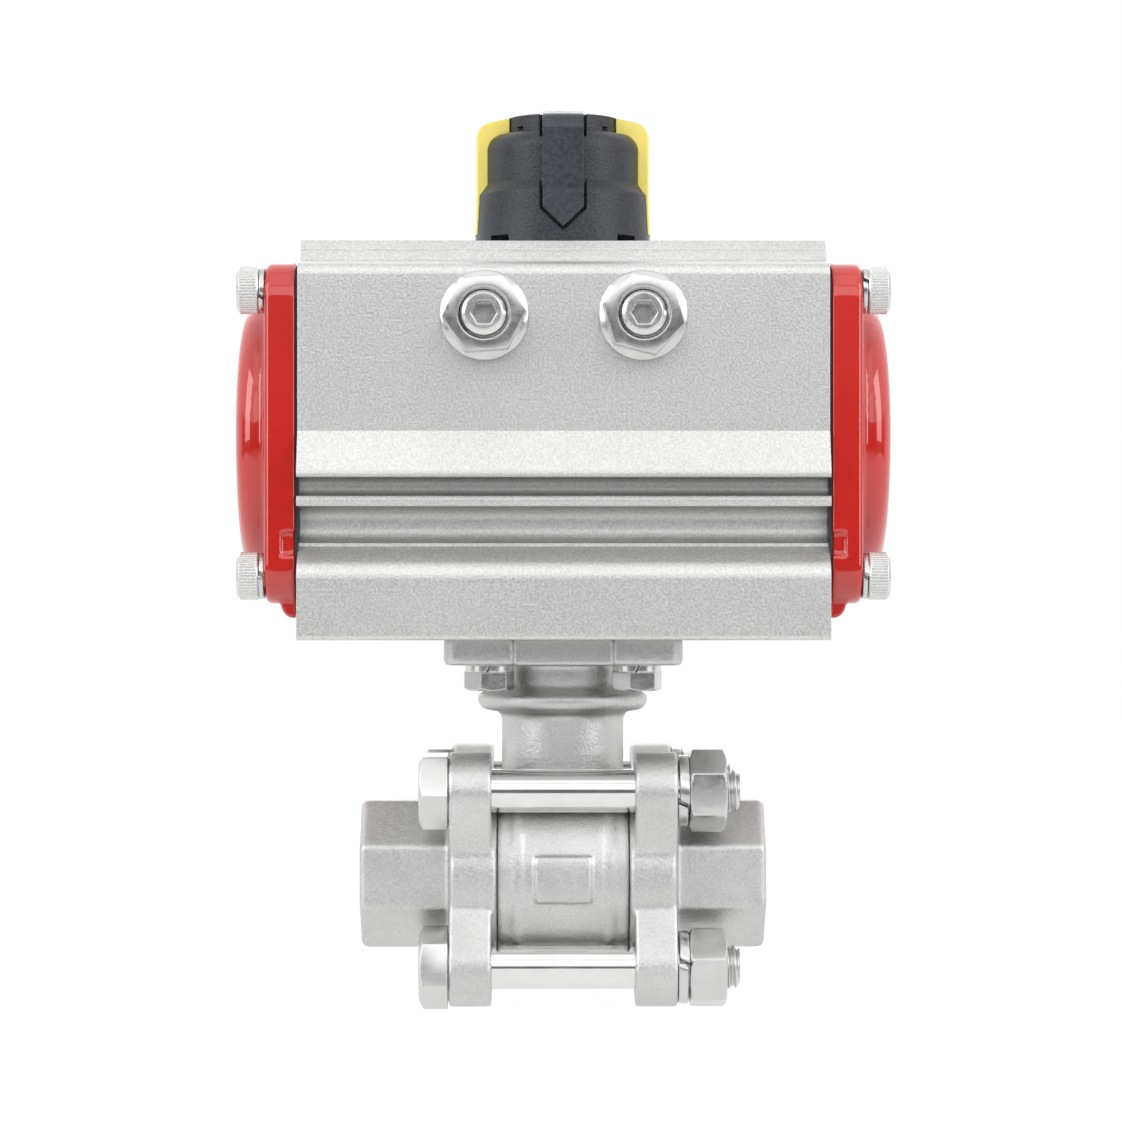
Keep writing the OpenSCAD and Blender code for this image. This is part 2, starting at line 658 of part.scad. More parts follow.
module piston_guide() {
  intersection() {
    translate([-3, -bore_r, bore_z - 6]) cube([12, bore_r - rack_back, 12]);
    translate([0, 0, bore_z]) bar_x(bore_r - 0.08, -10, 20);
  }
}
// The left-hand piston is the same piece turned half way round the pinion's axis.
module piston_right() {
  color("#b9bcc0") piston();
}
module piston_left() {
  color("#b9bcc0") rotate([0, 0, 180]) piston();
}
module piston_seal_right() {
  color("#202020") piston_seal();
}
module piston_seal_left() {
  color("#202020") rotate([0, 0, 180]) piston_seal();
}
module piston_band_right() {
  color("#e8e4d8") piston_band();
}
module piston_band_left() {
  color("#e8e4d8") rotate([0, 0, 180]) piston_band();
}
module piston_guide_right() {
  color("#e8e4d8") piston_guide();
}
module piston_guide_left() {
  color("#e8e4d8") rotate([0, 0, 180]) piston_guide();
}

// Pinion with involute teeth. The rolled-off angle gives the half width of a tooth at any radius.
function rolled(a) = tan(a) * 180 / 3.14159265 - a;
function half_angle(r) = half_tooth / pitch_r * 180 / 3.14159265 + rolled(pressure)
  - rolled(acos(min(1, base_r / r)));
flank = [for (i = [0:5]) base_r + (tip_r - base_r) * i / 5];
module tooth() {
  polygon(concat(
    [for (r = flank) [r * sin(half_angle(r)), r * cos(half_angle(r))]],
    [for (i = [5:-1:0]) [-flank[i] * sin(half_angle(flank[i])), flank[i] * cos(half_angle(flank[i]))]],
    [[-(root_r - 0.4) * sin(half_angle(base_r)), (root_r - 0.4) * cos(half_angle(base_r))],
      [(root_r - 0.4) * sin(half_angle(base_r)), (root_r - 0.4) * cos(half_angle(base_r))]]));
}
module double_d(r, flats) {
  intersection() {
    circle(r = r);
    square([2 * r + 2, flats], center = true);
  }
}
module pinion() {
  color("#a9a9ad") difference() {
    union() {
      bar_z(journal_r, act_base + 0.5, bore_z - 24);
      bar_z(shaft_r - 0.4, bore_z - 25, bore_z - 9);
      translate([0, 0, bore_z - 10]) linear_extrude(20) {
        circle(r = root_r);
        for (i = [0:teeth - 1]) rotate(i * 360 / teeth) tooth();
      }
      bar_z(shaft_r, bore_z + 10, cam_low);
      translate([0, 0, cam_low - 1]) linear_extrude(cam_high - cam_low + 1) double_d(shaft_r, 15.6);
      bar_z(top_r, cam_high - 1, act_top + 4);
      translate([0, 0, act_top + 3]) linear_extrude(shaft_top - act_top - 3) double_d(top_r, 11);
    }
    intersection() {
      bar_z(stem_r + 0.05, act_base - 1, act_base + 10);
      translate([-stem_square / 2 - 0.05, -stem_square / 2 - 0.05, act_base - 1])
        cube([stem_square + 0.1, stem_square + 0.1, 11]);
    }
    tube_z(top_r + 2, top_r - 0.92, act_top + 1.22, act_top + 2.5);
    bar_z(3, shaft_top - 14, shaft_top + 1);
  }
}
module stop_cam() {
  color("#9a9aa0") translate([0, 0, cam_low + 0.02]) linear_extrude(cam_high - cam_low - 0.04)
    difference() {
      union() {
        circle(r = 11.5);
        intersection() {
          circle(r = cam_r);
          translate([-20, -stop_face]) square([20 + stop_face, 40]);
        }
      }
      double_d(shaft_r + 0.03, 15.66);
    }
}
module pinion_bush_lower() {
  color("#3a3a38") tube_z(journal_r + 2, journal_r + 0.05, act_base + 3, act_base + 10.5);
}
module pinion_bush_upper() {
  color("#3a3a38") tube_z(top_r + 2, top_r + 0.05, cam_high + 0.1, act_top - 4);
}
module pinion_seals() {
  color("#202020") {
    translate([0, 0, act_base + 1.8]) rotate_extrude() translate([journal_r + 1, 0]) circle(r = 0.95);
    translate([0, 0, act_top - 2.6]) rotate_extrude() translate([top_r + 1, 0]) circle(r = 0.95);
  }
}
module pinion_washer() {
  color("#e8e4d8") tube_z(12.2, top_r + 0.1, act_top, act_top + 1.2);
}
module pinion_clip() {
  color("#9c9c9c") difference() {
    tube_z(top_r + 1.9, top_r - 0.9, act_top + 1.24, act_top + 2.44);
    translate([-1.5, 0, act_top]) cube([3, 20, 5]);
  }
}

// Stop screws with flanged lock nuts on the front.
module stop_screw(s) {
  tip = stop_face + 0.05;
  outer = face_depth + 7.9;
  color("#c9c9c9") translate([s * stop_x, 0, stop_z]) difference() {
    rotate([90, 0, 0]) rotate_extrude() polygon([
      [0, tip], [stop_r - 0.7, tip], [stop_r, tip + 0.7], [stop_r, outer - 0.6],
      [stop_r - 0.6, outer], [0, outer]]);
    translate([0, -outer + 4.5, 0]) rotate([90, 0, 0]) cylinder(r = 2 / cos(30), h = 6, $fn = 6);
  }
}
module stop_screw_left() {
  stop_screw(-1);
}
module stop_screw_right() {
  stop_screw(1);
}
module stop_nuts() {
  y0 = face_depth;
  color("#d0d0d0") for (s = [-1, 1]) translate([s * stop_x, 0, stop_z]) difference() {
    union() {
      intersection() {
        translate([0, -y0 - 1, 0]) rotate([90, 0, 0]) rotate([0, 0, 3])
          cylinder(r = tie_flats / 2 / cos(30), h = 5.9, $fn = 6);
        rotate([90, 0, 0]) rotate_extrude() polygon([
          [0, y0], [head_r, y0], [head_r, y0 + 6.2], [head_r - 1.2, y0 + 6.9], [0, y0 + 6.9]]);
      }
      rotate([90, 0, 0]) rotate_extrude() polygon([
        [0, y0], [7.6, y0], [7.95, y0 + 0.35], [7.95, y0 + 0.8], [6.3, y0 + 1.9], [0, y0 + 1.9]]);
    }
    bar_y(stop_r + 0.05, -y0 - 9, -y0 + 1);
    rotate([90, 0, 0]) translate([0, 0, y0 + 6.3]) cylinder(r1 = stop_r + 0.05, r2 = 4.9, h = 0.9);
  }
}

// Position indicator: cup with skirt, two coloured bars in line with the pipe, pointer across them.
module cup_outline() {
  translate([0, ind_base]) square([cup_r - 3.2, cup_top - ind_base]);
  translate([0, ind_base]) square([cup_r, cup_top - ind_base - 3.2]);
  translate([cup_r - 3.2, cup_top - 3.2]) circle(r = 3.2);
  polygon([[0, ind_base], [bar_r + 0.15, ind_base], [bar_r - 0.35, skirt_top],
    [cup_r, skirt_top + 2], [0, skirt_top + 2]]);
}
// Outer envelope that bars, pointer and top disc share.
module envelope_outline(grow) {
  top = act_top + indicator_height - 0.4 + grow;
  r = bar_r + grow;
  polygon(concat(
    [[0, ind_base], [r + 0.25, ind_base], [r, skirt_top]],
    [for (a = [0:15:75]) [r - 2.8 + 2.8 * cos(a), top - 4.3 + 2.8 * sin(a)]],
    [[disc_r + 0.6, top - 0.85], [disc_r, top - 0.7], [5, top - 0.15], [0, top]]));
}
module indicator_cup() {
  color("#3f444b") difference() {
    union() {
      rotate_extrude() cup_outline();
      intersection() {
        rotate_extrude() envelope_outline(0);
        bar_z(disc_r, cup_top - 1, act_top + 30);
      }
    }
    difference() {
      bar_z(cup_r - 1.9, ind_base - 1, shaft_top);
      bar_z(top_r + 2.2, act_top + 6, shaft_top + 1);
    }
    translate([0, 0, ind_base - 1]) linear_extrude(shaft_top - ind_base + 1) intersection() {
      circle(r = top_r + 0.05);
      square([2 * top_r + 2, 11.1], center = true);
    }
    bar_z(top_r + 0.3, ind_base - 1, act_top + 4.2);
    bar_z(3.2, shaft_top - 1, act_top + 30);
    bar_z(4.7, shaft_top + 1.6, act_top + 30);
    // slots for the bars and for the pointer
    difference() {
      union() {
        translate([-30, -half_pointer - 0.02, act_top + 2.6]) cube([60, pointer_width + 0.04, 40]);
        rotate([90, 0, 0]) translate([0, 0, -30]) linear_extrude(60) pointer_outline(pointer_gap);
      }
      bar_z(cup_r, ind_base - 2, cup_top - 3.2);
      intersection() {
        rotate_extrude() cup_outline();
        bar_z(cup_r, ind_base, cup_top);
      }
      difference() {
        bar_z(disc_r, cup_top - 4, act_top + 40);
        translate([-half_pointer - 0.02, -30, cup_top]) cube([pointer_width + 0.04, 60, 30]);
      }
    }
    // grooves beside the pointer's front and back ends, small recesses in the disc and the skirt
    for (s = [-1, 1], t = [-1, 1]) {
      translate([s * (half_pointer + pointer_gap / 2) - pointer_gap / 2, t * 11 - 5, cup_top - 1.6])
        cube([pointer_gap, 10, 20]);
      translate([s * 8 - 0.8, t * 9 - 3, cup_top - 0.01]) cube([1.6, 6, 1]);
      translate([s * 11.5 - 1.6, t * 12 - 5, ind_base - 1]) cube([3.2, 10, 2.5]);
    }
  }
}
// Front view of the pointer: straight sides and a triangular tip. grow widens it for the slot.
module pointer_outline(grow) {
  w = half_pointer + grow;
  polygon([[-w, act_top + 40], [-w, act_top + 6.5 - grow / 2], [0, act_top + 2.9 - grow * 1.5],
    [w, act_top + 6.5 - grow / 2], [w, act_top + 40]]);
}
module indicator_bars() {
  color("#f0c52e") for (s = [-1, 1]) difference() {
    intersection() {
      rotate_extrude() envelope_outline(0);
      translate([s < 0 ? -30 : disc_r - 0.5, -half_pointer, act_top + 2.6])
        cube([30.5 - disc_r, pointer_width, 40]);
    }
    rotate_extrude() cup_hidden();
    bar_z(disc_r, act_top, act_top + 40);
  }
}
// The part of the cup that the bars and the pointer rest on.
module cup_hidden() {
  translate([0, ind_base - 1]) square([cup_r - 3.2, cup_top - ind_base + 1]);
  translate([0, ind_base - 1]) square([cup_r, cup_top - ind_base - 2.2]);
  translate([cup_r - 3.2, cup_top - 3.2]) circle(r = 3.2);
}
module indicator_pointer() {
  color("#3f444b") difference() {
    intersection() {
      rotate_extrude() envelope_outline(0.4);
      rotate([90, 0, 0]) translate([0, 0, -30]) linear_extrude(60) pointer_outline(0);
    }
    rotate_extrude() cup_hidden();
  }
}
module indicator_screw() {
  color("#c8c8c8") difference() {
    union() {
      bar_z(4.5, shaft_top + 1.6, cup_top - 0.05);
      bar_z(2.95, shaft_top - 10, shaft_top + 2);
    }
    hex_z(4, cup_top - 1.2, cup_top + 1, 0);
  }
}

valve_body();
end_cap_left();
end_cap_right();
ball();
seat_left();
seat_right();
body_seal_left();
body_seal_right();
stem();
stem_thrust_washer();
stem_packing();
gland_ring();
stem_springs();
stem_nut();
tie_bolts();
tie_bolt_washers();
tie_bolt_nuts();
pad_bolts();
pad_bolt_washers();
actuator_body();
cover_left();
cover_right();
cover_gasket_left();
cover_gasket_right();
cover_screws_left();
cover_screws_right();
cover_screw_washers();
piston_left();
piston_right();
piston_seal_left();
piston_seal_right();
piston_band_left();
piston_band_right();
piston_guide_left();
piston_guide_right();
pinion();
stop_cam();
pinion_bush_lower();
pinion_bush_upper();
pinion_seals();
pinion_washer();
pinion_clip();
stop_screw_left();
stop_screw_right();
stop_nuts();
indicator_cup();
indicator_bars();
indicator_pointer();
indicator_screw();
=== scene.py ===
# %% [markdown]
# # A pneumatic ball valve
# The object is a half-inch ball valve with a rack and pinion air actuator on top. All its solids come from
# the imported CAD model. This script gives every one of them a finish, rounds the edges of castings, covers and
# nuts, and models by hand the small metal details that the CAD model leaves out: screw threads, knurled screw
# heads, split spring washers and flanged lock nuts.

import json
import math

import bpy
from mathutils import Matrix, Vector


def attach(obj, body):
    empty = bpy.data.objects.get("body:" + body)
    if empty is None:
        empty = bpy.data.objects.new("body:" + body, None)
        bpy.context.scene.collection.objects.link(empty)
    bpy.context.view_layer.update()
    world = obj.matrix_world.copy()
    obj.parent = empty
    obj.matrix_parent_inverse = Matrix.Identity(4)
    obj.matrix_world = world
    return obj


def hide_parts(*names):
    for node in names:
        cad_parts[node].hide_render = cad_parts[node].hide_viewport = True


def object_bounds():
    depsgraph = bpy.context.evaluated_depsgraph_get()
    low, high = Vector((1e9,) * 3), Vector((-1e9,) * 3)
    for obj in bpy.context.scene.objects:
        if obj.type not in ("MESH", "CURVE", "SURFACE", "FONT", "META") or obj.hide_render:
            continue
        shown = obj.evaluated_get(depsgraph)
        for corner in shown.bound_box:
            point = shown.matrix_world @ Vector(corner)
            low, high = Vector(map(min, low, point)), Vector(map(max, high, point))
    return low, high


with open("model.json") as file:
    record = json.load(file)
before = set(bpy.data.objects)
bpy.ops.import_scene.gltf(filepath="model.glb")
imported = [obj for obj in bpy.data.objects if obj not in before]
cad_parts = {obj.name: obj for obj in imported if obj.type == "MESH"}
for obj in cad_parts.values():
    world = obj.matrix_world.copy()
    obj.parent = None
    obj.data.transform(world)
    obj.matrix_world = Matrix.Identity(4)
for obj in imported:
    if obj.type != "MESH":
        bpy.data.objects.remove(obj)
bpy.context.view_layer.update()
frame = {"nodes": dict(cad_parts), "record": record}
nodes = frame["nodes"]

# %% [markdown]
# ## Measures
# The pieces modelled by hand are drawn in millimetres and have to fit the CAD solids, so the places that both
# share are named here. X runs along the pipe, Y to the back and Z up, all from the middle of the ball.

# %% Measures shared with the CAD model
MM = 0.001
CAP_FACE = 20.6  # a pipe end's flange, outer face
TIE_PITCH = 15.910  # tie bolts, distance from the pipe's axis in Y and in Z
PLATE_FACE = 53.0  # a cover's plate, outer face
BORE_Z = 80.2  # the cylinder's axis
COVER_PITCH = 25.4  # cover screws, distance from that axis in Y and in Z
FRONT_FACE = 30.4  # the actuator body's flat front
STOP_X, STOP_Z = 14.0, 100.8  # stop screws
PORT_X, PORT_Z = 12, 94.7  # air ports
M8_CREST, M8_PITCH = 3.95, 1.25  # thread of tie bolts and stop screws
SIDES = ((-1, "left", "-X"), (1, "right", "+X"))  # sign of X, word and direction outwards
print("the body's front is", FRONT_FACE, "mm from the middle")

# %% [markdown]
# ## Camera
# The picture was taken from straight in front with a long lens, at the height of the valve's mounting pad.
# A level camera keeps all upright edges upright. Its distance and lens were worked out from edges at
# different depths, so that near and far pieces have the same size in the render as in the picture.

# %% Place the camera
picture_width = 1122
focal_pixels = 3383.7
camera_yaw = math.radians(0.371)
camera = bpy.data.objects.new("camera", bpy.data.cameras.new("camera"))
bpy.context.scene.collection.objects.link(camera)
camera.data.sensor_width = 36
camera.data.lens = focal_pixels / picture_width * camera.data.sensor_width
camera.data.clip_start = 0.05
camera.location = (-4.36 * MM, -627.3 * MM, 57.45 * MM)
camera.rotation_euler = (math.radians(90), 0, -camera_yaw)
bpy.context.scene.camera = camera
print("lens:", round(camera.data.lens, 2), "mm")

# %% [markdown]
# ## Shader maths as Python
# A finish is a network of nodes. Written node by node it is long and hard to read, so one small class holds
# an output socket and turns + - * / into Math nodes. Every other node comes from a single method that takes
# its type, its settings and its inputs.


# %% Sockets that can be added and multiplied
class Link:
    """An output socket of a node, usable in Python expressions."""

    def __init__(self, finish, socket):
        self.finish = finish
        self.socket = socket

    def maths(self, operation, *values):
        return self.finish.node("ShaderNodeMath", {"operation": operation}, dict(enumerate(values)))

    def __add__(self, other):
        return self.maths("ADD", self, other)

    def __sub__(self, other):
        return self.maths("SUBTRACT", self, other)

    def __rsub__(self, other):
        return self.maths("SUBTRACT", other, self)

    def __mul__(self, other):
        return self.maths("MULTIPLY", self, other)

    def __truediv__(self, other):
        return self.maths("DIVIDE", self, other)

    def __pow__(self, other):
        return self.maths("POWER", self, other)

    def stretch(self, low, high):
        """0 at low, 1 at high, clamped between them."""
        return self.finish.node("ShaderNodeMapRange", {"clamp": True}, {0: self, 1: low, 2: high, 3: 0, 4: 1})


class Finish:
    """A material, or the world given as owner, under construction."""

    def __init__(self, name, owner=None):
        self.material = owner or bpy.data.materials.new(name)
        self.material.use_nodes = True
        self.tree = self.material.node_tree
        self.tree.nodes.clear()
        self.place = self.node("ShaderNodeTexCoord", output="Object")

    def node(self, kind, settings=None, inputs=None, output=0):
        new = self.tree.nodes.new(kind)
        for key, value in (settings or {}).items():
            if key == "stops":
                ramp = new.color_ramp.elements
                while len(ramp) < len(value):
                    ramp.new(0.5)
                for stop, (position, colour) in zip(ramp, value):
                    stop.position = position
                    stop.color = (*colour, 1)
            else:
                setattr(new, key, value)
        for key, value in (inputs or {}).items():
            if isinstance(value, Link):
                self.tree.links.new(value.socket, new.inputs[key])
            else:
                new.inputs[key].default_value = value
        return Link(self, new.outputs[output])

    def noise(self, scale, detail=2.0, roughness=0.5, where=None):
        inputs = {"Vector": where or self.place, "Scale": scale, "Detail": detail, "Roughness": roughness}
        return self.node("ShaderNodeTexNoise", None, inputs, "Fac")

    def stretched(self, x, y, z):
        """Object coordinates scaled along each axis, for streaks and brushing."""
        return self.node("ShaderNodeMapping", None, {"Vector": self.place, "Scale": (x, y, z)})

    def ramp(self, factor, stops):
        return self.node("ShaderNodeValToRGB", {"stops": stops}, {"Fac": factor}, "Color")

    def speckle(self, grain, colour, dark, light):
        """Shades a colour with a grain: darker in its pits, lighter on its peaks."""
        shade = grain.stretch(0.36, 0.64) * (light - dark) + dark
        return self.node("ShaderNodeVectorMath", {"operation": "SCALE"}, {0: colour, "Scale": shade})

    def blend(self, factor, first, second):
        """first where factor is 0, second where it is 1. Colours are tuples or links."""
        colours = [value if isinstance(value, Link) else (*value, 1) for value in (first, second)]
        inputs = {0: factor, 6: colours[0], 7: colours[1]}
        return self.node("ShaderNodeMix", {"data_type": "RGBA"}, inputs, 2)

    def soft_edges(self, radius):
        """A normal that is rounded over sharp edges."""
        return self.node("ShaderNodeBevel", {"samples": 6}, {"Radius": radius})

    def edge_mask(self, radius, low=0.02, high=0.2):
        """1 along convex and concave edges, 0 on flat faces."""
        rounded = self.soft_edges(radius)
        flat = self.node("ShaderNodeNewGeometry", output="Normal")
        dot = self.node("ShaderNodeVectorMath", {"operation": "DOT_PRODUCT"}, {0: rounded, 1: flat}, "Value")
        return (1 - dot).stretch(low, high)

    def bump(self, height, distance, strength=1.0, normal=None):
        inputs = {"Height": height, "Distance": distance, "Strength": strength}
        if normal:
            inputs["Normal"] = normal
        return self.node("ShaderNodeBump", None, inputs)

    def done(self, **inputs):
        """Feeds the inputs to a Principled shader; Base_Color stands for Base Color and so on."""
        named = {key.replace("_", " "): value for key, value in inputs.items()}
        self.close(self.node("ShaderNodeBsdfPrincipled", None, named))
        return self.material

    def close(self, shader, kind="ShaderNodeOutputMaterial"):
        out = self.tree.nodes.new(kind)
        self.tree.links.new(shader.socket, out.inputs["Surface"])


print("shader helpers are ready")


# %% [markdown]
# ## Bead-blasted castings
# The valve's centre body and its pipe ends are stainless investment castings, blasted with fine beads. The
# skin has a grain of about a third of a millimetre, shallow dents from the wax pattern, and edges that the
# blasting has rounded. A bevelled normal gives the round edge, a painted highlight lightens the colour along
# the edges, and two noises give the skin.

# %% Cast stainless steel
def cast_steel():
    f = Finish("cast_stainless")
    grain = f.noise(2500, 2.5, 0.65)
    dents = f.noise(620, 2, 0.5)
    cloud = f.noise(80, 3, 0.55)
    edge = f.edge_mask(0.6 * MM)
    colour = f.ramp(cloud, [(0.3, (0.60, 0.60, 0.595)), (0.7, (0.69, 0.69, 0.685))])
    # painted highlight: the colour is lighter along every edge
    colour = f.blend(edge * 0.4, colour, (0.80, 0.80, 0.795))
    colour = f.speckle(grain, colour, 0.90, 1.06)
    normal = f.bump(grain * 0.8 + dents * 0.8, 0.11 * MM, 0.8, f.soft_edges(0.5 * MM))
    rough = grain.stretch(0.3, 0.75) * 0.14 + 0.36 - edge * 0.06
    return f.done(Base_Color=colour, Metallic=1.0, Roughness=rough, Normal=normal)


CAST = cast_steel()
print("made", CAST.name)


# %% [markdown]
# ## Blasted and anodised aluminium
# The actuator's body is a length of extruded profile, blasted and then anodised, so it is a soft, even light
# grey; its sandy sparkle is painted into the colour as lighter specks, which are painted glints. Its grain is
# finer than a casting's and its edges are crisp, with a painted highlight along them. Under the lips of the two
# long grooves the colour is darker, which is painted shade.

# %% Aluminium
# The painted shade in the grooves fades in between these distances from the middle in Y and between these
# heights in Z.
GROOVE_REACH = (30.6 * MM, 33.0 * MM)
GROOVE_BOTTOM = (63.0 * MM, 66.5 * MM)
GROOVE_TOP = (72.2 * MM, 72.6 * MM)


def aluminium():
    f = Finish("blasted_aluminium")
    grain = f.noise(2300, 2, 0.6)
    painted_glints = f.noise(3600, 1, 0.5)
    cloud = f.noise(50, 2, 0.5)
    drawn = f.noise(1, 3, 0.5, f.stretched(12, 800, 800))
    colour = f.ramp(cloud, [(0.3, (0.70, 0.70, 0.69)), (0.7, (0.74, 0.74, 0.73))])
    # painted glints: lighter specks mixed into the colour
    colour = f.blend(painted_glints.stretch(0.60, 0.72) * 0.4, colour, (0.84, 0.84, 0.82))
    edge = f.edge_mask(0.3 * MM)
    # painted highlight: the colour is lighter along every edge
    colour = f.blend(edge * 0.3, colour, (0.80, 0.80, 0.79))
    side = f.node("ShaderNodeSeparateXYZ", None, {0: f.place}, "Y")
    level = f.node("ShaderNodeSeparateXYZ", None, {0: f.place}, "Z")
    # painted shade under the groove lips: inside the groove and within its heights the colour is darkened
    # toward dark grey
    inside = 1 - (side * side).stretch(GROOVE_REACH[0] ** 2, GROOVE_REACH[1] ** 2)
    groove_shade_band = level.stretch(*GROOVE_BOTTOM) * (1 - level.stretch(*GROOVE_TOP))
    colour = f.blend(inside * groove_shade_band * 0.5, colour, (0.36, 0.36, 0.355))
    colour = f.speckle(grain, colour, 0.88, 1.08)
    height = grain * 0.8 + drawn * 0.25
    normal = f.bump(height, 0.11 * MM, 0.7, f.soft_edges(0.3 * MM))
    rough = grain.stretch(0.3, 0.75) * 0.12 + 0.40
    return f.done(Base_Color=colour, Metallic=1.0, Roughness=rough, Normal=normal)


ALUMINIUM = aluminium()
print("made", ALUMINIUM.name)


# %% [markdown]
# ## Red powder coat
# The end covers are die castings with a thick glossy coat of red powder. Powder melts into a slightly wavy
# skin, so the edges of reflections break up: a low bump under a clear layer does that. The covers' rims also
# bulge a little from top to bottom, which a second bump with the shape of a shallow arch gives to the light.

# %% Red paint
ARCH_MIDDLE = 70 * MM
ARCH_REACH = 40 * MM
ARCH_HEIGHT = 4.2 * MM


def red_paint():
    f = Finish("red_powder_coat")
    wave = f.noise(650, 2, 0.6)
    level = f.node("ShaderNodeSeparateXYZ", None, {0: f.place}, "Z")
    arch = ((level - ARCH_MIDDLE) / ARCH_REACH) ** 2
    cloud = f.noise(45, 2, 0.5)
    colour = f.ramp(cloud, [(0.3, (0.51, 0.006, 0.001)), (0.7, (0.58, 0.010, 0.003))])
    edge = f.edge_mask(0.5 * MM)
    # painted highlight: the red is paler along every edge
    colour = f.blend(edge * 0.25, colour, (0.78, 0.06, 0.04))
    bulge = f.bump(1 - arch, ARCH_HEIGHT, 1.0, f.soft_edges(0.6 * MM))
    normal = f.bump(wave, 0.07 * MM, 1.0, bulge)
    coat = {"Coat_Weight": 1.0, "Coat_Roughness": 0.06, "Coat_IOR": 1.75}
    return f.done(Base_Color=colour, Roughness=0.3, Specular_IOR_Level=0.15, Normal=normal, **coat)


RED = red_paint()
print("made", RED.name)


# %% [markdown]
# ## Bright and satin steel
# Bolts, nuts and screws are cold-formed stainless: nearly mirrors on the shanks, a little duller on heads and
# nuts, with faint drawing lines. One recipe serves them all, with the roughness and the lines as its values.
# The tie bolts are polished between the two flanges and satin beyond them.

# %% Steel of fasteners and turned pieces
def bright_steel(name, colour, rough, lines, dent=0.3, edge_width=0.25, polished=None):
    f = Finish(name)
    streak = f.noise(1, 4, 0.6, f.stretched(*lines))
    patch = f.noise(240, 2, 0.5)
    edge = f.edge_mask(edge_width * MM)
    dark = tuple(value * 0.93 for value in colour)
    base = f.blend(patch.stretch(0.35, 0.7), dark, colour)
    # painted highlight: the colour is much lighter along every edge
    base = f.blend(edge * 0.7, base, (0.92, 0.92, 0.91))
    normal = f.bump(streak * 0.5 + patch * dent, 0.012 * MM, 0.5, f.soft_edges(edge_width * MM))
    gloss = streak.stretch(0.3, 0.75) * 0.10 + patch.stretch(0.4, 0.8) * 0.06 + rough
    if polished:
        low, high = polished
        across = f.node("ShaderNodeSeparateXYZ", None, {0: f.place}, "X")
        past_low = across.stretch(low - 0.1 * MM, low)
        satin = 1 - past_low * (1 - across.stretch(high, high + 0.1 * MM))
        gloss = satin * 0.20 + gloss
        base = f.blend(satin * 0.8, base, tuple(value * 0.82 for value in colour))
    return f.done(Base_Color=base, Metallic=1.0, Roughness=gloss, Normal=normal)


SHINY = (-20.7 * MM, 22 * MM)
SHANK = bright_steel("tie_bolt_steel", (0.82, 0.82, 0.81), 0.05, (60, 2600, 2600), 0.2, polished=SHINY)
NUT = bright_steel("nut_steel", (0.68, 0.68, 0.675), 0.18, (500, 900, 900), 0.10, 0.4)
SCREW = bright_steel("screw_steel", (0.76, 0.76, 0.75), 0.20, (900, 900, 900), 0.4, 0.35)
TURNED = bright_steel("turned_steel", (0.70, 0.70, 0.695), 0.24, (500, 500, 3000), 0.3)
PINION = bright_steel("nickel_plated_steel", (0.58, 0.585, 0.59), 0.26, (500, 500, 2600), 0.4)
PISTON = bright_steel("machined_piston_alloy", (0.66, 0.67, 0.68), 0.36, (2600, 400, 400), 0.6)
print("made", [m.name for m in (SHANK, NUT, SCREW, TURNED, PINION, PISTON)])


# %% [markdown]
# ## Plastics and rubber
# The indicator is moulded: blue-black plastic with a fine eroded grain, and satin yellow bars. Inside the
# valve are white sealing rings, cream bearing pieces and black rubber. All share one recipe for a moulded
# skin, with the grain's size and depth as values, and a painted highlight along edges whose strength is a value
# too.

# %% Moulded materials
def moulded(name, low, high, rough, grain_scale, depth, edge_highlight=0.3, tone=0.03):
    f = Finish(name)
    grain = f.noise(grain_scale, 2, 0.6)
    cloud = f.noise(120, 2, 0.5)
    edge = f.edge_mask(0.3 * MM)
    colour = f.ramp(cloud, [(0.3, low), (0.7, high)])
    edge_highlight_colour = tuple(min(1.0, value * 1.25 + 0.03) for value in high)
    colour = f.speckle(grain, colour, 1 - tone, 1 + tone)
    # painted highlight: the colour is lighter along every edge
    colour = f.blend(edge * edge_highlight, colour, edge_highlight_colour)
    normal = f.bump(grain, depth * MM, 0.8, f.soft_edges(0.3 * MM))
    gloss = grain.stretch(0.3, 0.75) * 0.12 + rough
    return f.done(Base_Color=colour, Roughness=gloss, Normal=normal)


BLACK = moulded("black_plastic", (0.017, 0.021, 0.027), (0.024, 0.029, 0.036), 0.36, 1900, 0.15, 0.5, 0.4)
POINTER = moulded("pointer_plastic", (0.028, 0.034, 0.043), (0.042, 0.050, 0.062), 0.20, 1100, 0.04, 0.5, 0.2)
YELLOW = moulded("yellow_plastic", (0.94, 0.77, 0.17), (0.97, 0.81, 0.20), 0.38, 1600, 0.03)
WHITE = moulded("white_sealing_plastic", (0.80, 0.79, 0.76), (0.86, 0.85, 0.82), 0.45, 1500, 0.01)
CREAM = moulded("cream_bearing_plastic", (0.68, 0.63, 0.50), (0.74, 0.69, 0.56), 0.42, 1500, 0.015)
RUBBER = moulded("black_rubber", (0.016, 0.016, 0.016), (0.026, 0.026, 0.026), 0.55, 1600, 0.03)
print("made", [m.name for m in (BLACK, POINTER, YELLOW, WHITE, CREAM, RUBBER)])

# %% [markdown]
# ## Finish on every CAD solid
# The record names a material slot for each solid, so one table from slot to finish dresses most of them.
# Nuts, washers and pad bolts share the screws' slot but are duller, so they are named one by one.

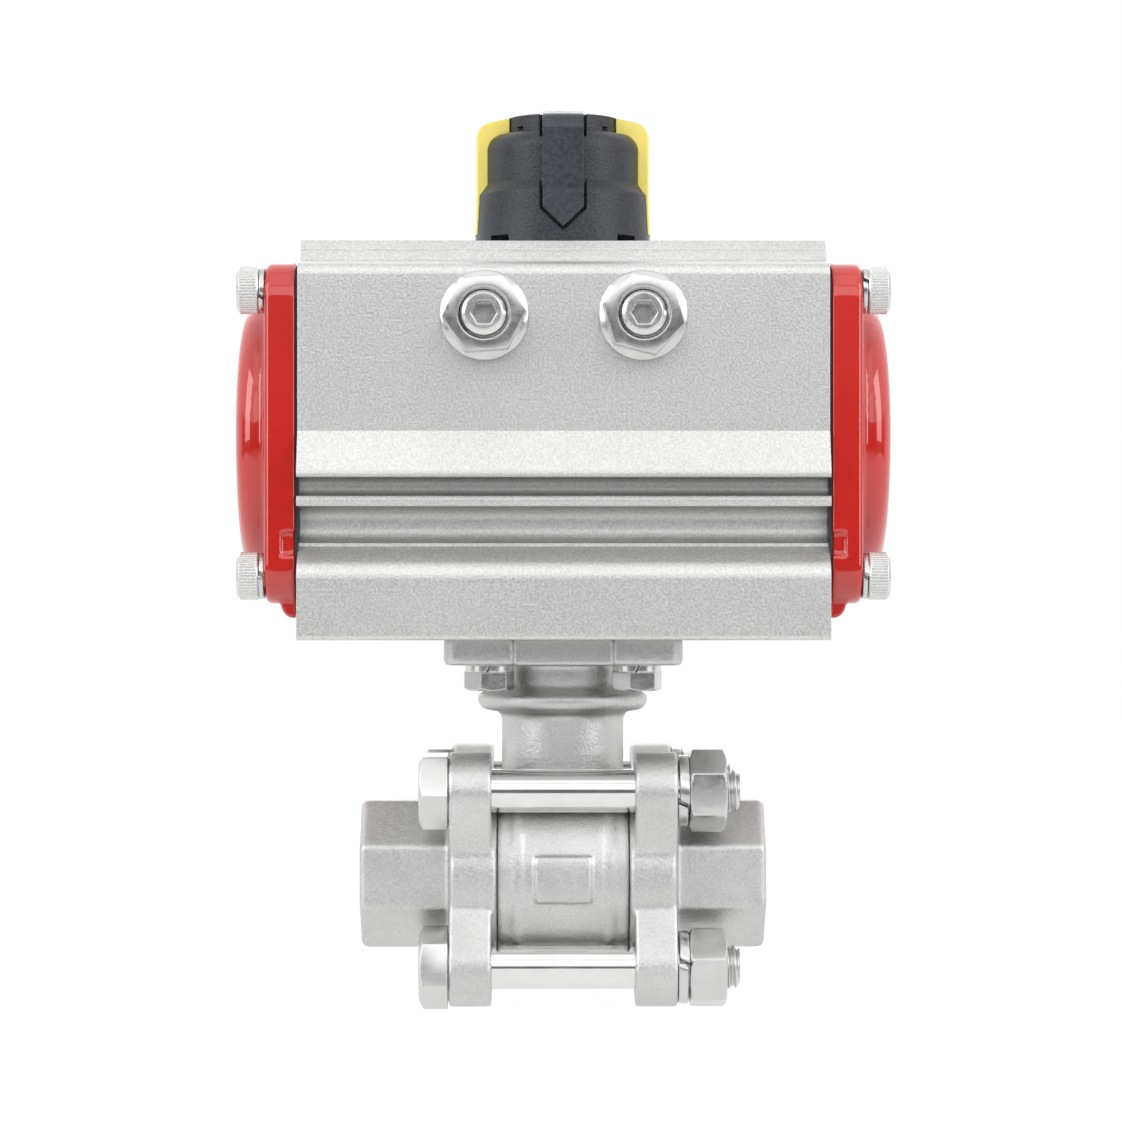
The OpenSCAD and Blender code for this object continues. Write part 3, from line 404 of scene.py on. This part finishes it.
# %% Dress the CAD solids
BY_SLOT = {
    "cast_steel": CAST,
    "machined_steel": TURNED,
    "screw_steel": SCREW,
    "aluminium_body": ALUMINIUM,
    "red_paint": RED,
    "piston_alloy": PISTON,
    "pinion_steel": PINION,
    "black_plastic": BLACK,
    "yellow_plastic": YELLOW,
    "ptfe": WHITE,
    "rubber": RUBBER,
    "acetal": CREAM,
}
BY_NODE = {name: NUT for name in ("tie_bolt_nuts", "tie_bolt_washers", "pad_bolts", "stop_nuts")}
BY_NODE["indicator_pointer"] = POINTER
slot_of = {entry["node"]: entry["material_slot"] for entry in frame["record"]["subparts"]}
for name, solid in nodes.items():
    solid.data.materials.clear()
    solid.data.materials.append(BY_NODE.get(name, BY_SLOT[slot_of[name]]))
print("dressed", len(nodes), "solids")


# %% [markdown]
# ## Tools for modelling by hand
# Each new piece is drawn in millimetres around the Z axis, as on a lathe, and put in its place at the end.
# A line is drawn by extruding one vertex, spun into a round piece or screwed into a thread. Nothing else may
# be selected meanwhile, because an operator works on everything that is.

# %% Modelling helpers
def deselect():
    if bpy.context.mode != "OBJECT":
        bpy.ops.object.mode_set(mode="OBJECT")
    bpy.ops.object.select_all(action="DESELECT")


def select_only(piece):
    deselect()
    piece.select_set(True)
    bpy.context.view_layer.objects.active = piece


def edit(piece):
    """Enters edit mode on one piece, with all of its vertices selected."""
    select_only(piece)
    bpy.ops.object.mode_set(mode="EDIT")
    bpy.ops.mesh.select_all(action="SELECT")


def pick(piece, test):
    """Selects the vertices whose place passes a test, in edit mode, and says how many there are."""
    bpy.ops.mesh.select_mode(type="VERT")
    bpy.ops.mesh.select_all(action="DESELECT")
    bpy.ops.object.mode_set(mode="OBJECT")
    chosen = [v for v in piece.data.vertices if test(v.co)]
    for v in chosen:
        v.select = True
    bpy.ops.object.mode_set(mode="EDIT")
    return len(chosen)


def trace(name, points, closed=False):
    """Draws a line through points by extruding a single vertex."""
    deselect()
    bpy.ops.mesh.primitive_plane_add(size=1)
    piece = bpy.context.object
    piece.name = name
    bpy.ops.object.mode_set(mode="EDIT")
    bpy.ops.mesh.select_all(action="SELECT")
    bpy.ops.mesh.merge(type="CENTER")
    bpy.ops.transform.translate(value=Vector(points[0]))
    for here, there in zip(points, points[1:]):
        step = Vector(there) - Vector(here)
        bpy.ops.mesh.extrude_region_move(TRANSFORM_OT_translate={"value": step})
    if closed:
        bpy.ops.mesh.select_all(action="SELECT")
        bpy.ops.mesh.edge_face_add()
        bpy.ops.mesh.delete(type="ONLY_FACE")
    return piece


def lathe(name, profile, steps=48):
    """Spins a line of (radius, height) points round the Z axis."""
    piece = trace(name, [(radius, 0, height) for radius, height in profile])
    bpy.ops.mesh.select_all(action="SELECT")
    bpy.ops.mesh.spin(steps=steps, angle=2 * math.pi, center=(0, 0, 0), axis=(0, 0, 1))
    bpy.ops.mesh.select_all(action="SELECT")
    bpy.ops.mesh.remove_doubles(threshold=0.001)
    bpy.ops.mesh.normals_make_consistent(inside=False)
    deselect()
    return piece


def modify(piece, kind, **settings):
    """Adds a modifier and applies it at once."""
    select_only(piece)
    modifier = piece.modifiers.new(kind.lower(), kind)
    for key, value in settings.items():
        setattr(modifier, key, value)
    bpy.ops.object.modifier_apply(modifier=modifier.name)
    return piece


def soften(piece, width, angle):
    """Gives every edge that turns by more than an angle in degrees a small radius."""
    limits = {"limit_method": "ANGLE", "angle_limit": math.radians(angle)}
    return modify(piece, "BEVEL", width=width, segments=2, **limits)


def cut(piece, tool, operation="DIFFERENCE"):
    """Cuts, intersects or unites piece with another object, which is deleted."""
    modify(piece, "BOOLEAN", object=tool, operation=operation, solver="EXACT")
    bpy.data.objects.remove(tool)
    return piece


def prism(name, sides, flats, low, high, turn=0.0):
    """A straight bar with flat sides round Z."""
    deselect()
    radius = flats / 2 / math.cos(math.pi / sides)
    place = (0, 0, (low + high) / 2)
    bpy.ops.mesh.primitive_cylinder_add(
        vertices=sides, radius=radius, depth=high - low, location=place, rotation=(0, 0, turn)
    )
    piece = bpy.context.object
    piece.name = name
    bpy.ops.object.transform_apply(location=True, rotation=True, scale=True)
    return piece


def helix(name, line, pitch, low, high, steps, closed):
    """Screws a line of (radius, part of the pitch) points up round Z and trims it at two heights."""
    start = low - pitch
    piece = trace(name, [(radius, 0, start + part * pitch) for radius, part in line])
    turns = math.ceil((high - start) / pitch) + 1
    modify(piece, "SCREW", screw_offset=pitch, iterations=turns, steps=steps, render_steps=steps, axis="Z")
    edit(piece)
    bpy.ops.mesh.remove_doubles(threshold=0.001)
    for height, side in ((low, "clear_inner"), (high, "clear_outer")):
        bpy.ops.mesh.select_all(action="SELECT")
        bpy.ops.mesh.bisect(plane_co=(0, 0, height), plane_no=(0, 0, 1), use_fill=closed, **{side: True})
    bpy.ops.mesh.select_all(action="SELECT")
    bpy.ops.mesh.normals_make_consistent(inside=not closed)
    deselect()
    return piece


def thread(name, root, crest, pitch, low, high, steps=32):
    """A threaded rod round Z, closed at both ends."""
    line = [(root, 0), (crest, 0.38), (crest, 0.5), (root, 0.88), (root, 1)]
    return helix(name, line, pitch, low, high, steps, closed=True)


def join(*pieces):
    """Joins objects into the first one."""
    deselect()
    for piece in pieces:
        piece.select_set(True)
    bpy.context.view_layer.objects.active = pieces[0]
    bpy.ops.object.join()
    return pieces[0]


def copy_to(piece, name, placement):
    """A copy with its own mesh, scaled from millimetres and moved to its place in the mesh itself."""
    twin = bpy.data.objects.new(name, piece.data.copy())
    bpy.context.scene.collection.objects.link(twin)
    select_only(twin)
    twin.matrix_world = Matrix.Scale(MM, 4) @ placement
    bpy.ops.object.transform_apply(location=True, rotation=True, scale=True)
    return twin


def finish_piece(piece, name, material, body, slot, *replaced, smooth=35):
    """Names, dresses and seats a finished piece."""
    select_only(piece)
    bpy.ops.object.shade_smooth_by_angle(angle=math.radians(smooth))
    piece.name = name
    piece.data.materials.clear()
    piece.data.materials.append(material)
    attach(piece, body)
    if replaced:
        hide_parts(*replaced)
    low = [round(min(v.co[i] for v in piece.data.vertices) / MM, 2) for i in range(3)]
    high = [round(max(v.co[i] for v in piece.data.vertices) / MM, 2) for i in range(3)]
    print(name, len(piece.data.polygons), "faces, from", low, "to", high)
    return piece


def turned(axis):
    """A rotation that lays the Z axis along another one."""
    return {
        "+X": Matrix.Rotation(math.radians(90), 4, "Y"),
        "-X": Matrix.Rotation(math.radians(-90), 4, "Y"),
        "-Y": Matrix.Rotation(math.radians(90), 4, "X"),
        "+Y": Matrix.Rotation(math.radians(-90), 4, "X"),
    }[axis]


print("modelling helpers are ready")

# %% [markdown]
# ## Rounded castings and covers
# A wax pattern and the blasting after it leave no sharp edge on a casting, and a thick coat of powder leaves
# none on a cover. These five pieces are copied from their CAD solids, rebuilt as an even net of small squares
# and smoothed: the flat faces stay where they are and every edge and inner corner gets a radius of up to a
# millimetre. The centre body's two end bands are also a little lower than its middle.

# %% Round the castings and covers
BAND_START = 9.2 * MM
BAND_RADII = (17 * MM, 18.6 * MM)
BAND_SCALE = 0.98


def on_end_band(co):
    return BAND_START < abs(co.x) and BAND_RADII[0] < math.hypot(co.y, co.z) < BAND_RADII[1]


def rounded_copy(name, voxel, rounds, material, slot):
    """A rounded twin that stands for a CAD solid: the net's mesh width and the rounds of smoothing."""
    skin = bpy.data.objects.new(name + "_rounded", nodes[name].data.copy())
    bpy.context.scene.collection.objects.link(skin)
    edit(skin)
    bpy.ops.mesh.remove_doubles(threshold=0.000001)
    select_only(skin)
    bpy.ops.mesh.customdata_custom_splitnormals_clear()
    skin.data.use_remesh_preserve_attributes = False
    skin.data.remesh_voxel_size = voxel * MM
    bpy.ops.object.voxel_remesh()
    if name == "valve_body":
        edit(skin)
        pick(skin, on_end_band)
        bpy.ops.transform.resize(value=(1, BAND_SCALE, BAND_SCALE), center_override=(0, 0, 0))
    modify(skin, "SMOOTH", factor=0.5, iterations=rounds)
    return finish_piece(skin, name + "_rounded", material, "housing", slot, name, smooth=60)


for cast_name, rounds in (("valve_body", 12), ("end_cap_left", 20), ("end_cap_right", 20)):
    rounded_copy(cast_name, 0.42, rounds, CAST, "cast_steel")
for cover_name in ("cover_left", "cover_right"):
    rounded_copy(cover_name, 0.5, 6, RED, "red_paint")

# %% [markdown]
# ## Tie bolts
# Four long bolts clamp the three pieces of the valve together. The shank between the flanges is ground and
# bright, the head is a chamfered hexagon, and a few turns of thread show past the nut. One bolt is modelled
# standing on its head and copied four times, each turned a little differently, as bolts are after tightening.

# %% Model one tie bolt
TIE_HEAD = 5.2
HEAD_GAP = 0.2
HEAD_TOP = -TIE_HEAD - HEAD_GAP
THREAD_START = 2 * CAP_FACE + 3
TIE_END = 2 * CAP_FACE + 11.2
head = prism("bolt_head", 6, 13, HEAD_TOP, -HEAD_GAP)
dome_line = [(0, HEAD_TOP), (6.1, HEAD_TOP), (7.5, -TIE_HEAD + 0.65), (7.6, 0), (0, 0)]
cut(head, lathe("dome", dome_line), "INTERSECT")
soften(head, 0.22, 25)
shank_line = [(0, -0.4), (6.1, -0.4), (6.1, 0), (M8_CREST, 0), (M8_CREST, THREAD_START - 0.5)]
shank_line += [(3.5, THREAD_START), (0, THREAD_START)]
shank = lathe("bolt_shank", shank_line)
tip = thread("bolt_thread", 3.32, M8_CREST, M8_PITCH, THREAD_START - 0.3, TIE_END)
edit(tip)
pick(tip, lambda co: co.z > TIE_END - 0.55)
bpy.ops.transform.resize(value=(0.88, 0.88, 1), center_override=(0, 0, TIE_END))
deselect()
bolt = join(head, shank, tip)
print("one tie bolt:", len(bolt.data.polygons), "faces")

# %% Four tie bolts
# Each entry is the side in Y, the side in Z and the turn of the head in degrees.
TIE_SET = [(-1, 1, 4), (-1, -1, 20), (1, 1, 7), (1, -1, 33)]
bolts = []
for number, (side, level, turn) in enumerate(TIE_SET):
    place = Matrix.Translation((-CAP_FACE, side * TIE_PITCH, level * TIE_PITCH)) @ turned("+X")
    bolts.append(copy_to(bolt, f"bolt_{number}", place @ Matrix.Rotation(math.radians(turn), 4, "Z")))
bpy.data.objects.remove(bolt)
finish_piece(join(*bolts), "tie_bolts_threaded", SHANK, "housing", "screw_steel", "tie_bolts")


# %% [markdown]
# ## Split spring washers
# A spring washer is a square wire wound into a single turn of a helix and cut off at a slant. So a slanted
# square is screwed through a little less than a full turn with a small rise, and its two ends are closed.

# %% Model a spring washer
def spring_washer(name, inner, outer, thickness, rise, gap_degrees):
    """A washer standing on Z = 0 whose slit is as wide as the gap."""
    slant = math.tan(math.radians(25))
    corners = [(inner, 0), (outer, 0), (outer, thickness), (inner, thickness)]
    piece = trace(name, [(radius, slant * height, height) for radius, height in corners], closed=True)
    turn = math.radians(360 - gap_degrees)
    modify(piece, "SCREW", angle=turn, screw_offset=rise, steps=44, render_steps=44, axis="Z")
    edit(piece)
    bpy.ops.mesh.remove_doubles(threshold=0.001)
    bpy.ops.mesh.select_all(action="SELECT")
    bpy.ops.mesh.fill_holes(sides=4)
    bpy.ops.mesh.select_all(action="SELECT")
    bpy.ops.mesh.normals_make_consistent(inside=False)
    deselect()
    return soften(piece, thickness * 0.13, 50)


washer = spring_washer("washer", 4.1, 6.5, 1.8, 0.28, 6)
ring = []
for number, (side, level, _) in enumerate(TIE_SET):
    place = Matrix.Translation((CAP_FACE + 0.01, side * TIE_PITCH, level * TIE_PITCH)) @ turned("+X")
    slit = 90 * side + (18 if level > 0 else -14)
    ring.append(copy_to(washer, f"ring_{number}", place @ Matrix.Rotation(math.radians(slit), 4, "Z")))
bpy.data.objects.remove(washer)
finish_piece(join(*ring), "tie_spring_washers", NUT, "housing", "screw_steel", "tie_bolt_washers")

# %% [markdown]
# ## Nuts
# Nuts are pressed and tumbled, so each edge between two flats has a small radius, and the nut finish paints a
# highlight along it. The tie bolts' nuts are copies of the CAD solids with that radius cut into them. The stop
# screws' lock nuts are modelled by
# hand: a hexagon turned down at its corners, standing on a round flange. Each is turned its own way.

# %% Nuts of the tie bolts
tumbled = bpy.data.objects.new("tumbled_nuts", nodes["tie_bolt_nuts"].data.copy())
bpy.context.scene.collection.objects.link(tumbled)
edit(tumbled)
bpy.ops.mesh.customdata_custom_splitnormals_clear()
bpy.ops.mesh.remove_doubles(threshold=0.000001)
bpy.ops.mesh.dissolve_limited(angle_limit=math.radians(1))
deselect()
soften(tumbled, 0.3 * MM, 28)
finish_piece(tumbled, "tie_bolt_nuts_tumbled", NUT, "housing", "screw_steel", "tie_bolt_nuts")

# %% Lock nuts of the stop screws
def standing(name, line, steps=48):
    """A round piece whose line starts from the body's front face."""
    return lathe(name, [(radius, FRONT_FACE + rise) for radius, rise in line], steps)


lock_nut = prism("lock_nut", 6, 12.9, FRONT_FACE + 0.5, FRONT_FACE + 7.4, math.radians(30))
cut(lock_nut, standing("dome", [(0, 0), (7.7, 0), (7.7, 6.4), (6.2, 6.9), (0, 6.9)]), "INTERSECT")
flange_line = [(0, 0), (7.7, 0), (7.95, 0.25), (7.95, 0.7), (7.7, 0.95), (6.2, 1.6), (0, 1.6)]
cut(lock_nut, standing("flange", flange_line, 96), "UNION")
soften(lock_nut, 0.18, 28)
bore_line = [(0, -1), (4.05, -1), (4.05, 6.3), (4.75, 6.95), (4.75, 8), (0, 8)]
cut(lock_nut, standing("bore", bore_line))
pair = []
for side, turn in ((-1, 4), (1, -14)):
    place = Matrix.Translation((side * STOP_X, 0, STOP_Z)) @ turned("-Y")
    pair.append(copy_to(lock_nut, f"lock_nut_{side}", place @ Matrix.Rotation(math.radians(turn), 4, "Z")))
bpy.data.objects.remove(lock_nut)
finish_piece(join(*pair), "stop_lock_nuts", NUT, "housing", "screw_steel", "stop_nuts")

# %% [markdown]
# ## Knurled cover screws
# Each end cover is held by four socket head screws. The head has a straight knurl for finger grip, a plain
# band below and above it, and a hexagon socket. Every second vertex of the knurled band is pulled in.

# %% Model one cover screw
HEAD_R = 4.25
HEAD_H = 3.9
KNURL_GROOVE = math.radians(360 / 48)


def in_groove(co):
    angle = (math.atan2(co.y, co.x) % KNURL_GROOVE) / KNURL_GROOVE
    return 0.45 < co.z < HEAD_H - 0.7 and 0.3 < angle < 0.7


deselect()
bpy.ops.mesh.primitive_cylinder_add(vertices=192, radius=HEAD_R, depth=HEAD_H, location=(0, 0, HEAD_H / 2))
screw = bpy.context.object
bpy.ops.object.transform_apply(location=True, rotation=True, scale=True)
edit(screw)
for height in (0.3, 0.5, HEAD_H - 0.75, HEAD_H - 0.5):
    bpy.ops.mesh.select_all(action="SELECT")
    bpy.ops.mesh.bisect(plane_co=(0, 0, height), plane_no=(0, 0, 1))
print("knurl vertices:", pick(screw, in_groove))
bpy.ops.transform.resize(value=(0.93, 0.93, 1), center_override=(0, 0, 0))
pick(screw, lambda co: co.z > HEAD_H - 0.01)
bpy.ops.transform.resize(value=(0.87, 0.87, 1), center_override=(0, 0, HEAD_H))
pick(screw, lambda co: co.z < 0.01)
bpy.ops.transform.resize(value=(0.95, 0.95, 1), center_override=(0, 0, 0))
deselect()
cut(screw, prism("socket", 6, 4, HEAD_H - 2.4, HEAD_H + 1, math.radians(10)))
shaft = lathe("screw_shaft", [(0, -18.5), (1.9, -18.5), (2.45, -17.9), (2.45, 0.02), (0, 0.02)], 24)
screw = join(screw, shaft)
print("one cover screw:", len(screw.data.polygons), "faces")

# %% Screws and washers on both covers
small_washer = spring_washer("small_washer", 2.6, 4.1, 0.85, 0.14, 9)
for side, word, direction in SIDES:
    heads = []
    rings = []
    for number, (y, z) in enumerate([(-1, 1), (-1, -1), (1, 1), (1, -1)]):
        corner = (y * COVER_PITCH, BORE_Z + z * COVER_PITCH)
        place = Matrix.Translation((side * (PLATE_FACE + 1), *corner)) @ turned(direction)
        spun = Matrix.Rotation(math.radians(3 + 7 * number), 4, "Z")
        heads.append(copy_to(screw, f"screw_{word}_{number}", place @ spun))
        place = Matrix.Translation((side * PLATE_FACE, *corner)) @ turned(direction)
        facing = Matrix.Rotation(math.radians(250 + 25 * number), 4, "Z")
        rings.append(copy_to(small_washer, f"ring_{word}_{number}", place @ facing))
    name = f"cover_screws_{word}"
    finish_piece(join(*heads), name + "_knurled", SCREW, "housing", "screw_steel", name)
    ring_name = f"cover_spring_washers_{word}"
    finish_piece(join(*rings), ring_name, NUT, "housing", "screw_steel", "cover_screw_washers")
bpy.data.objects.remove(screw)
bpy.data.objects.remove(small_washer)

# %% [markdown]
# ## Stop screws
# Two set screws limit how far the pinion can turn. They are threaded from end to end, have a hexagon socket
# in front and a flat tip that meets the cam. They slide along their own joints, so each is its own piece.

# %% Stop screws
STOP_TIP = 6.05
STOP_END = FRONT_FACE + 7.9
rod = thread("stop_thread", 3.4, M8_CREST, M8_PITCH, STOP_TIP, STOP_END, 40)
edit(rod)
for end in (STOP_TIP, STOP_END):
    pick(rod, lambda co: abs(co.z - end) < 0.5)
    bpy.ops.transform.resize(value=(0.88, 0.88, 1), center_override=(0, 0, end))
deselect()
cut(rod, prism("stop_socket", 6, 4, STOP_END - 4.5, STOP_END + 1, math.radians(30)))
for side, word, _ in SIDES:
    place = Matrix.Translation((side * STOP_X, 0, STOP_Z)) @ turned("-Y")
    twin = copy_to(rod, f"stop_{word}", place)
    name = f"stop_screw_{word}"
    finish_piece(twin, name + "_threaded", SCREW, f"{word}_stop", "screw_steel", name)
bpy.data.objects.remove(rod)

# %% [markdown]
# ## Threads in the pipe ends
# The pipe ends have an internal half-inch thread. It is a helix like the others, but its crests point
# inwards, so the line is drawn the other way round, and a thin wall behind it closes the piece.

# %% Pipe threads
def inner_thread(name, wall, crest, pitch, low, high, steps=48):
    """A thread in a thin wall round Z, open at both ends."""
    line = [(wall, 0), (crest, 0.4), (crest, 0.5), (wall, 0.9), (wall, 1)]
    piece = helix(name, line, pitch, low, high, steps, closed=False)
    return modify(piece, "SOLIDIFY", thickness=0.12, offset=-1)


pipe = inner_thread("pipe_thread", wall=9.32, crest=8.95, pitch=1.814, low=23.0, high=35.7)
for _, word, direction in SIDES:
    twin = copy_to(pipe, f"pipe_{word}", turned(direction))
    finish_piece(twin, f"pipe_thread_{word}", TURNED, "housing", "machined_steel")
bpy.data.objects.remove(pipe)

air = inner_thread("air_thread", wall=4.31, crest=4.12, pitch=0.907, low=24.2, high=30.1, steps=36)
for number, x in enumerate((-PORT_X, PORT_X)):
    place = Matrix.Translation((x, 0, PORT_Z)) @ turned("+Y")
    twin = copy_to(air, f"air_{number}", place)
    finish_piece(twin, f"air_port_thread_{number}", ALUMINIUM, "housing", "aluminium_body")
bpy.data.objects.remove(air)

# %% [markdown]
# ## Floor, background and light
# A product picture is taken on a white sweep in a room of soft boxes. The floor and the background are white
# to the camera alone, and stay moderate for the light that reaches the object, so metal keeps its dark and
# bright bands. The world is a simple studio: pale all round, with a dark band about the height of the horizon
# on the camera's side only, where the room is. The floor ends 0.3 m in front of the object.

# %% The floor
FLOOR_SIZE = 1.4
FLOOR_BACK = 0.40
floor_finish = Finish("white_sweep")
eye = floor_finish.node("ShaderNodeLightPath", output="Is Camera Ray")
mirror = floor_finish.node("ShaderNodeLightPath", output="Is Glossy Ray")
matt = floor_finish.node("ShaderNodeBsdfDiffuse", None, {"Color": (0.72, 0.72, 0.72, 1)}, "BSDF")
glow = floor_finish.node("ShaderNodeEmission", None, {"Color": (1, 1, 1, 1), "Strength": 1.05})
mixed = floor_finish.node("ShaderNodeMixShader", None, {0: eye * 0.93 + mirror * 0.85, 1: matt, 2: glow})
floor_finish.close(mixed)
deselect()
floor_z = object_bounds()[0][2]
bpy.ops.mesh.primitive_plane_add(size=FLOOR_SIZE, location=(0, FLOOR_BACK, floor_z))
floor = bpy.context.object
floor.name = "floor"
floor.data.materials.append(floor_finish.material)
print("floor at", round(floor_z / MM, 2), "mm")

# %% The world and the soft boxes
world = bpy.data.worlds.new("studio")
bpy.context.scene.world = world
sky = Finish("studio", world)
direction = sky.node("ShaderNodeTexCoord", output="Generated")
height = sky.node("ShaderNodeSeparateXYZ", None, {0: direction}, "Z")
# The colours go by height: 0 is straight down, 0.5 the horizon and 1 straight up.
STUDIO = [
    (0.00, (0.92, 0.92, 0.93)),
    (0.36, (0.85, 0.85, 0.86)),
    (0.42, (0.16, 0.16, 0.17)),
    (0.575, (0.16, 0.16, 0.17)),
    (0.60, (1.00, 1.00, 1.01)),
    (0.78, (1.00, 1.00, 1.01)),
    (1.00, (0.84, 0.84, 0.84)),
]
behind = sky.node("ShaderNodeSeparateXYZ", None, {0: direction}, "Y").stretch(-0.1, 0.2)
studio = sky.blend(behind, sky.ramp(height * 0.5 + 0.5, STUDIO), (1.0, 1.0, 1.0))
seen = sky.node("ShaderNodeLightPath", output="Is Camera Ray")
light = sky.node("ShaderNodeBackground", None, {"Color": studio, "Strength": 1.0})
white = sky.node("ShaderNodeBackground", None, {"Color": (1, 1, 1, 1), "Strength": 1.0})
sky.close(sky.node("ShaderNodeMixShader", None, {0: seen, 1: light, 2: white}), "ShaderNodeOutputWorld")


MIDDLE = (0, 0, 0.06)


def soft_box(name, place, size, power):
    """A rectangular lamp that is aimed at the object's middle."""
    lamp = bpy.data.lights.new(name, "AREA")
    lamp.shape = "RECTANGLE"
    lamp.size, lamp.size_y = size
    lamp.energy = power
    stand = bpy.data.objects.new(name, lamp)
    bpy.context.scene.collection.objects.link(stand)
    stand.location = place
    stand.rotation_euler = (Vector(MIDDLE) - Vector(place)).to_track_quat("-Z", "Y").to_euler()


soft_box("top_box", (0, -0.45, 0.85), (1.1, 0.6), 0.8)
soft_box("front_box", (0, -1.25, 0.62), (1.6, 0.6), 2.0)
soft_box("side_box_left", (-0.95, -0.55, 0.45), (0.5, 0.9), 4.0)
soft_box("side_box_right", (0.95, -0.55, 0.45), (0.5, 0.9), 4.0)
soft_box("back_box", (0, 0.9, 0.5), (1.2, 0.7), 2.5)

# %% [markdown]
# ## Colour
# The view transform stays plain, so that colours render as they are written.

# %% Finish
bpy.context.scene.view_settings.view_transform = "Standard"
deselect()
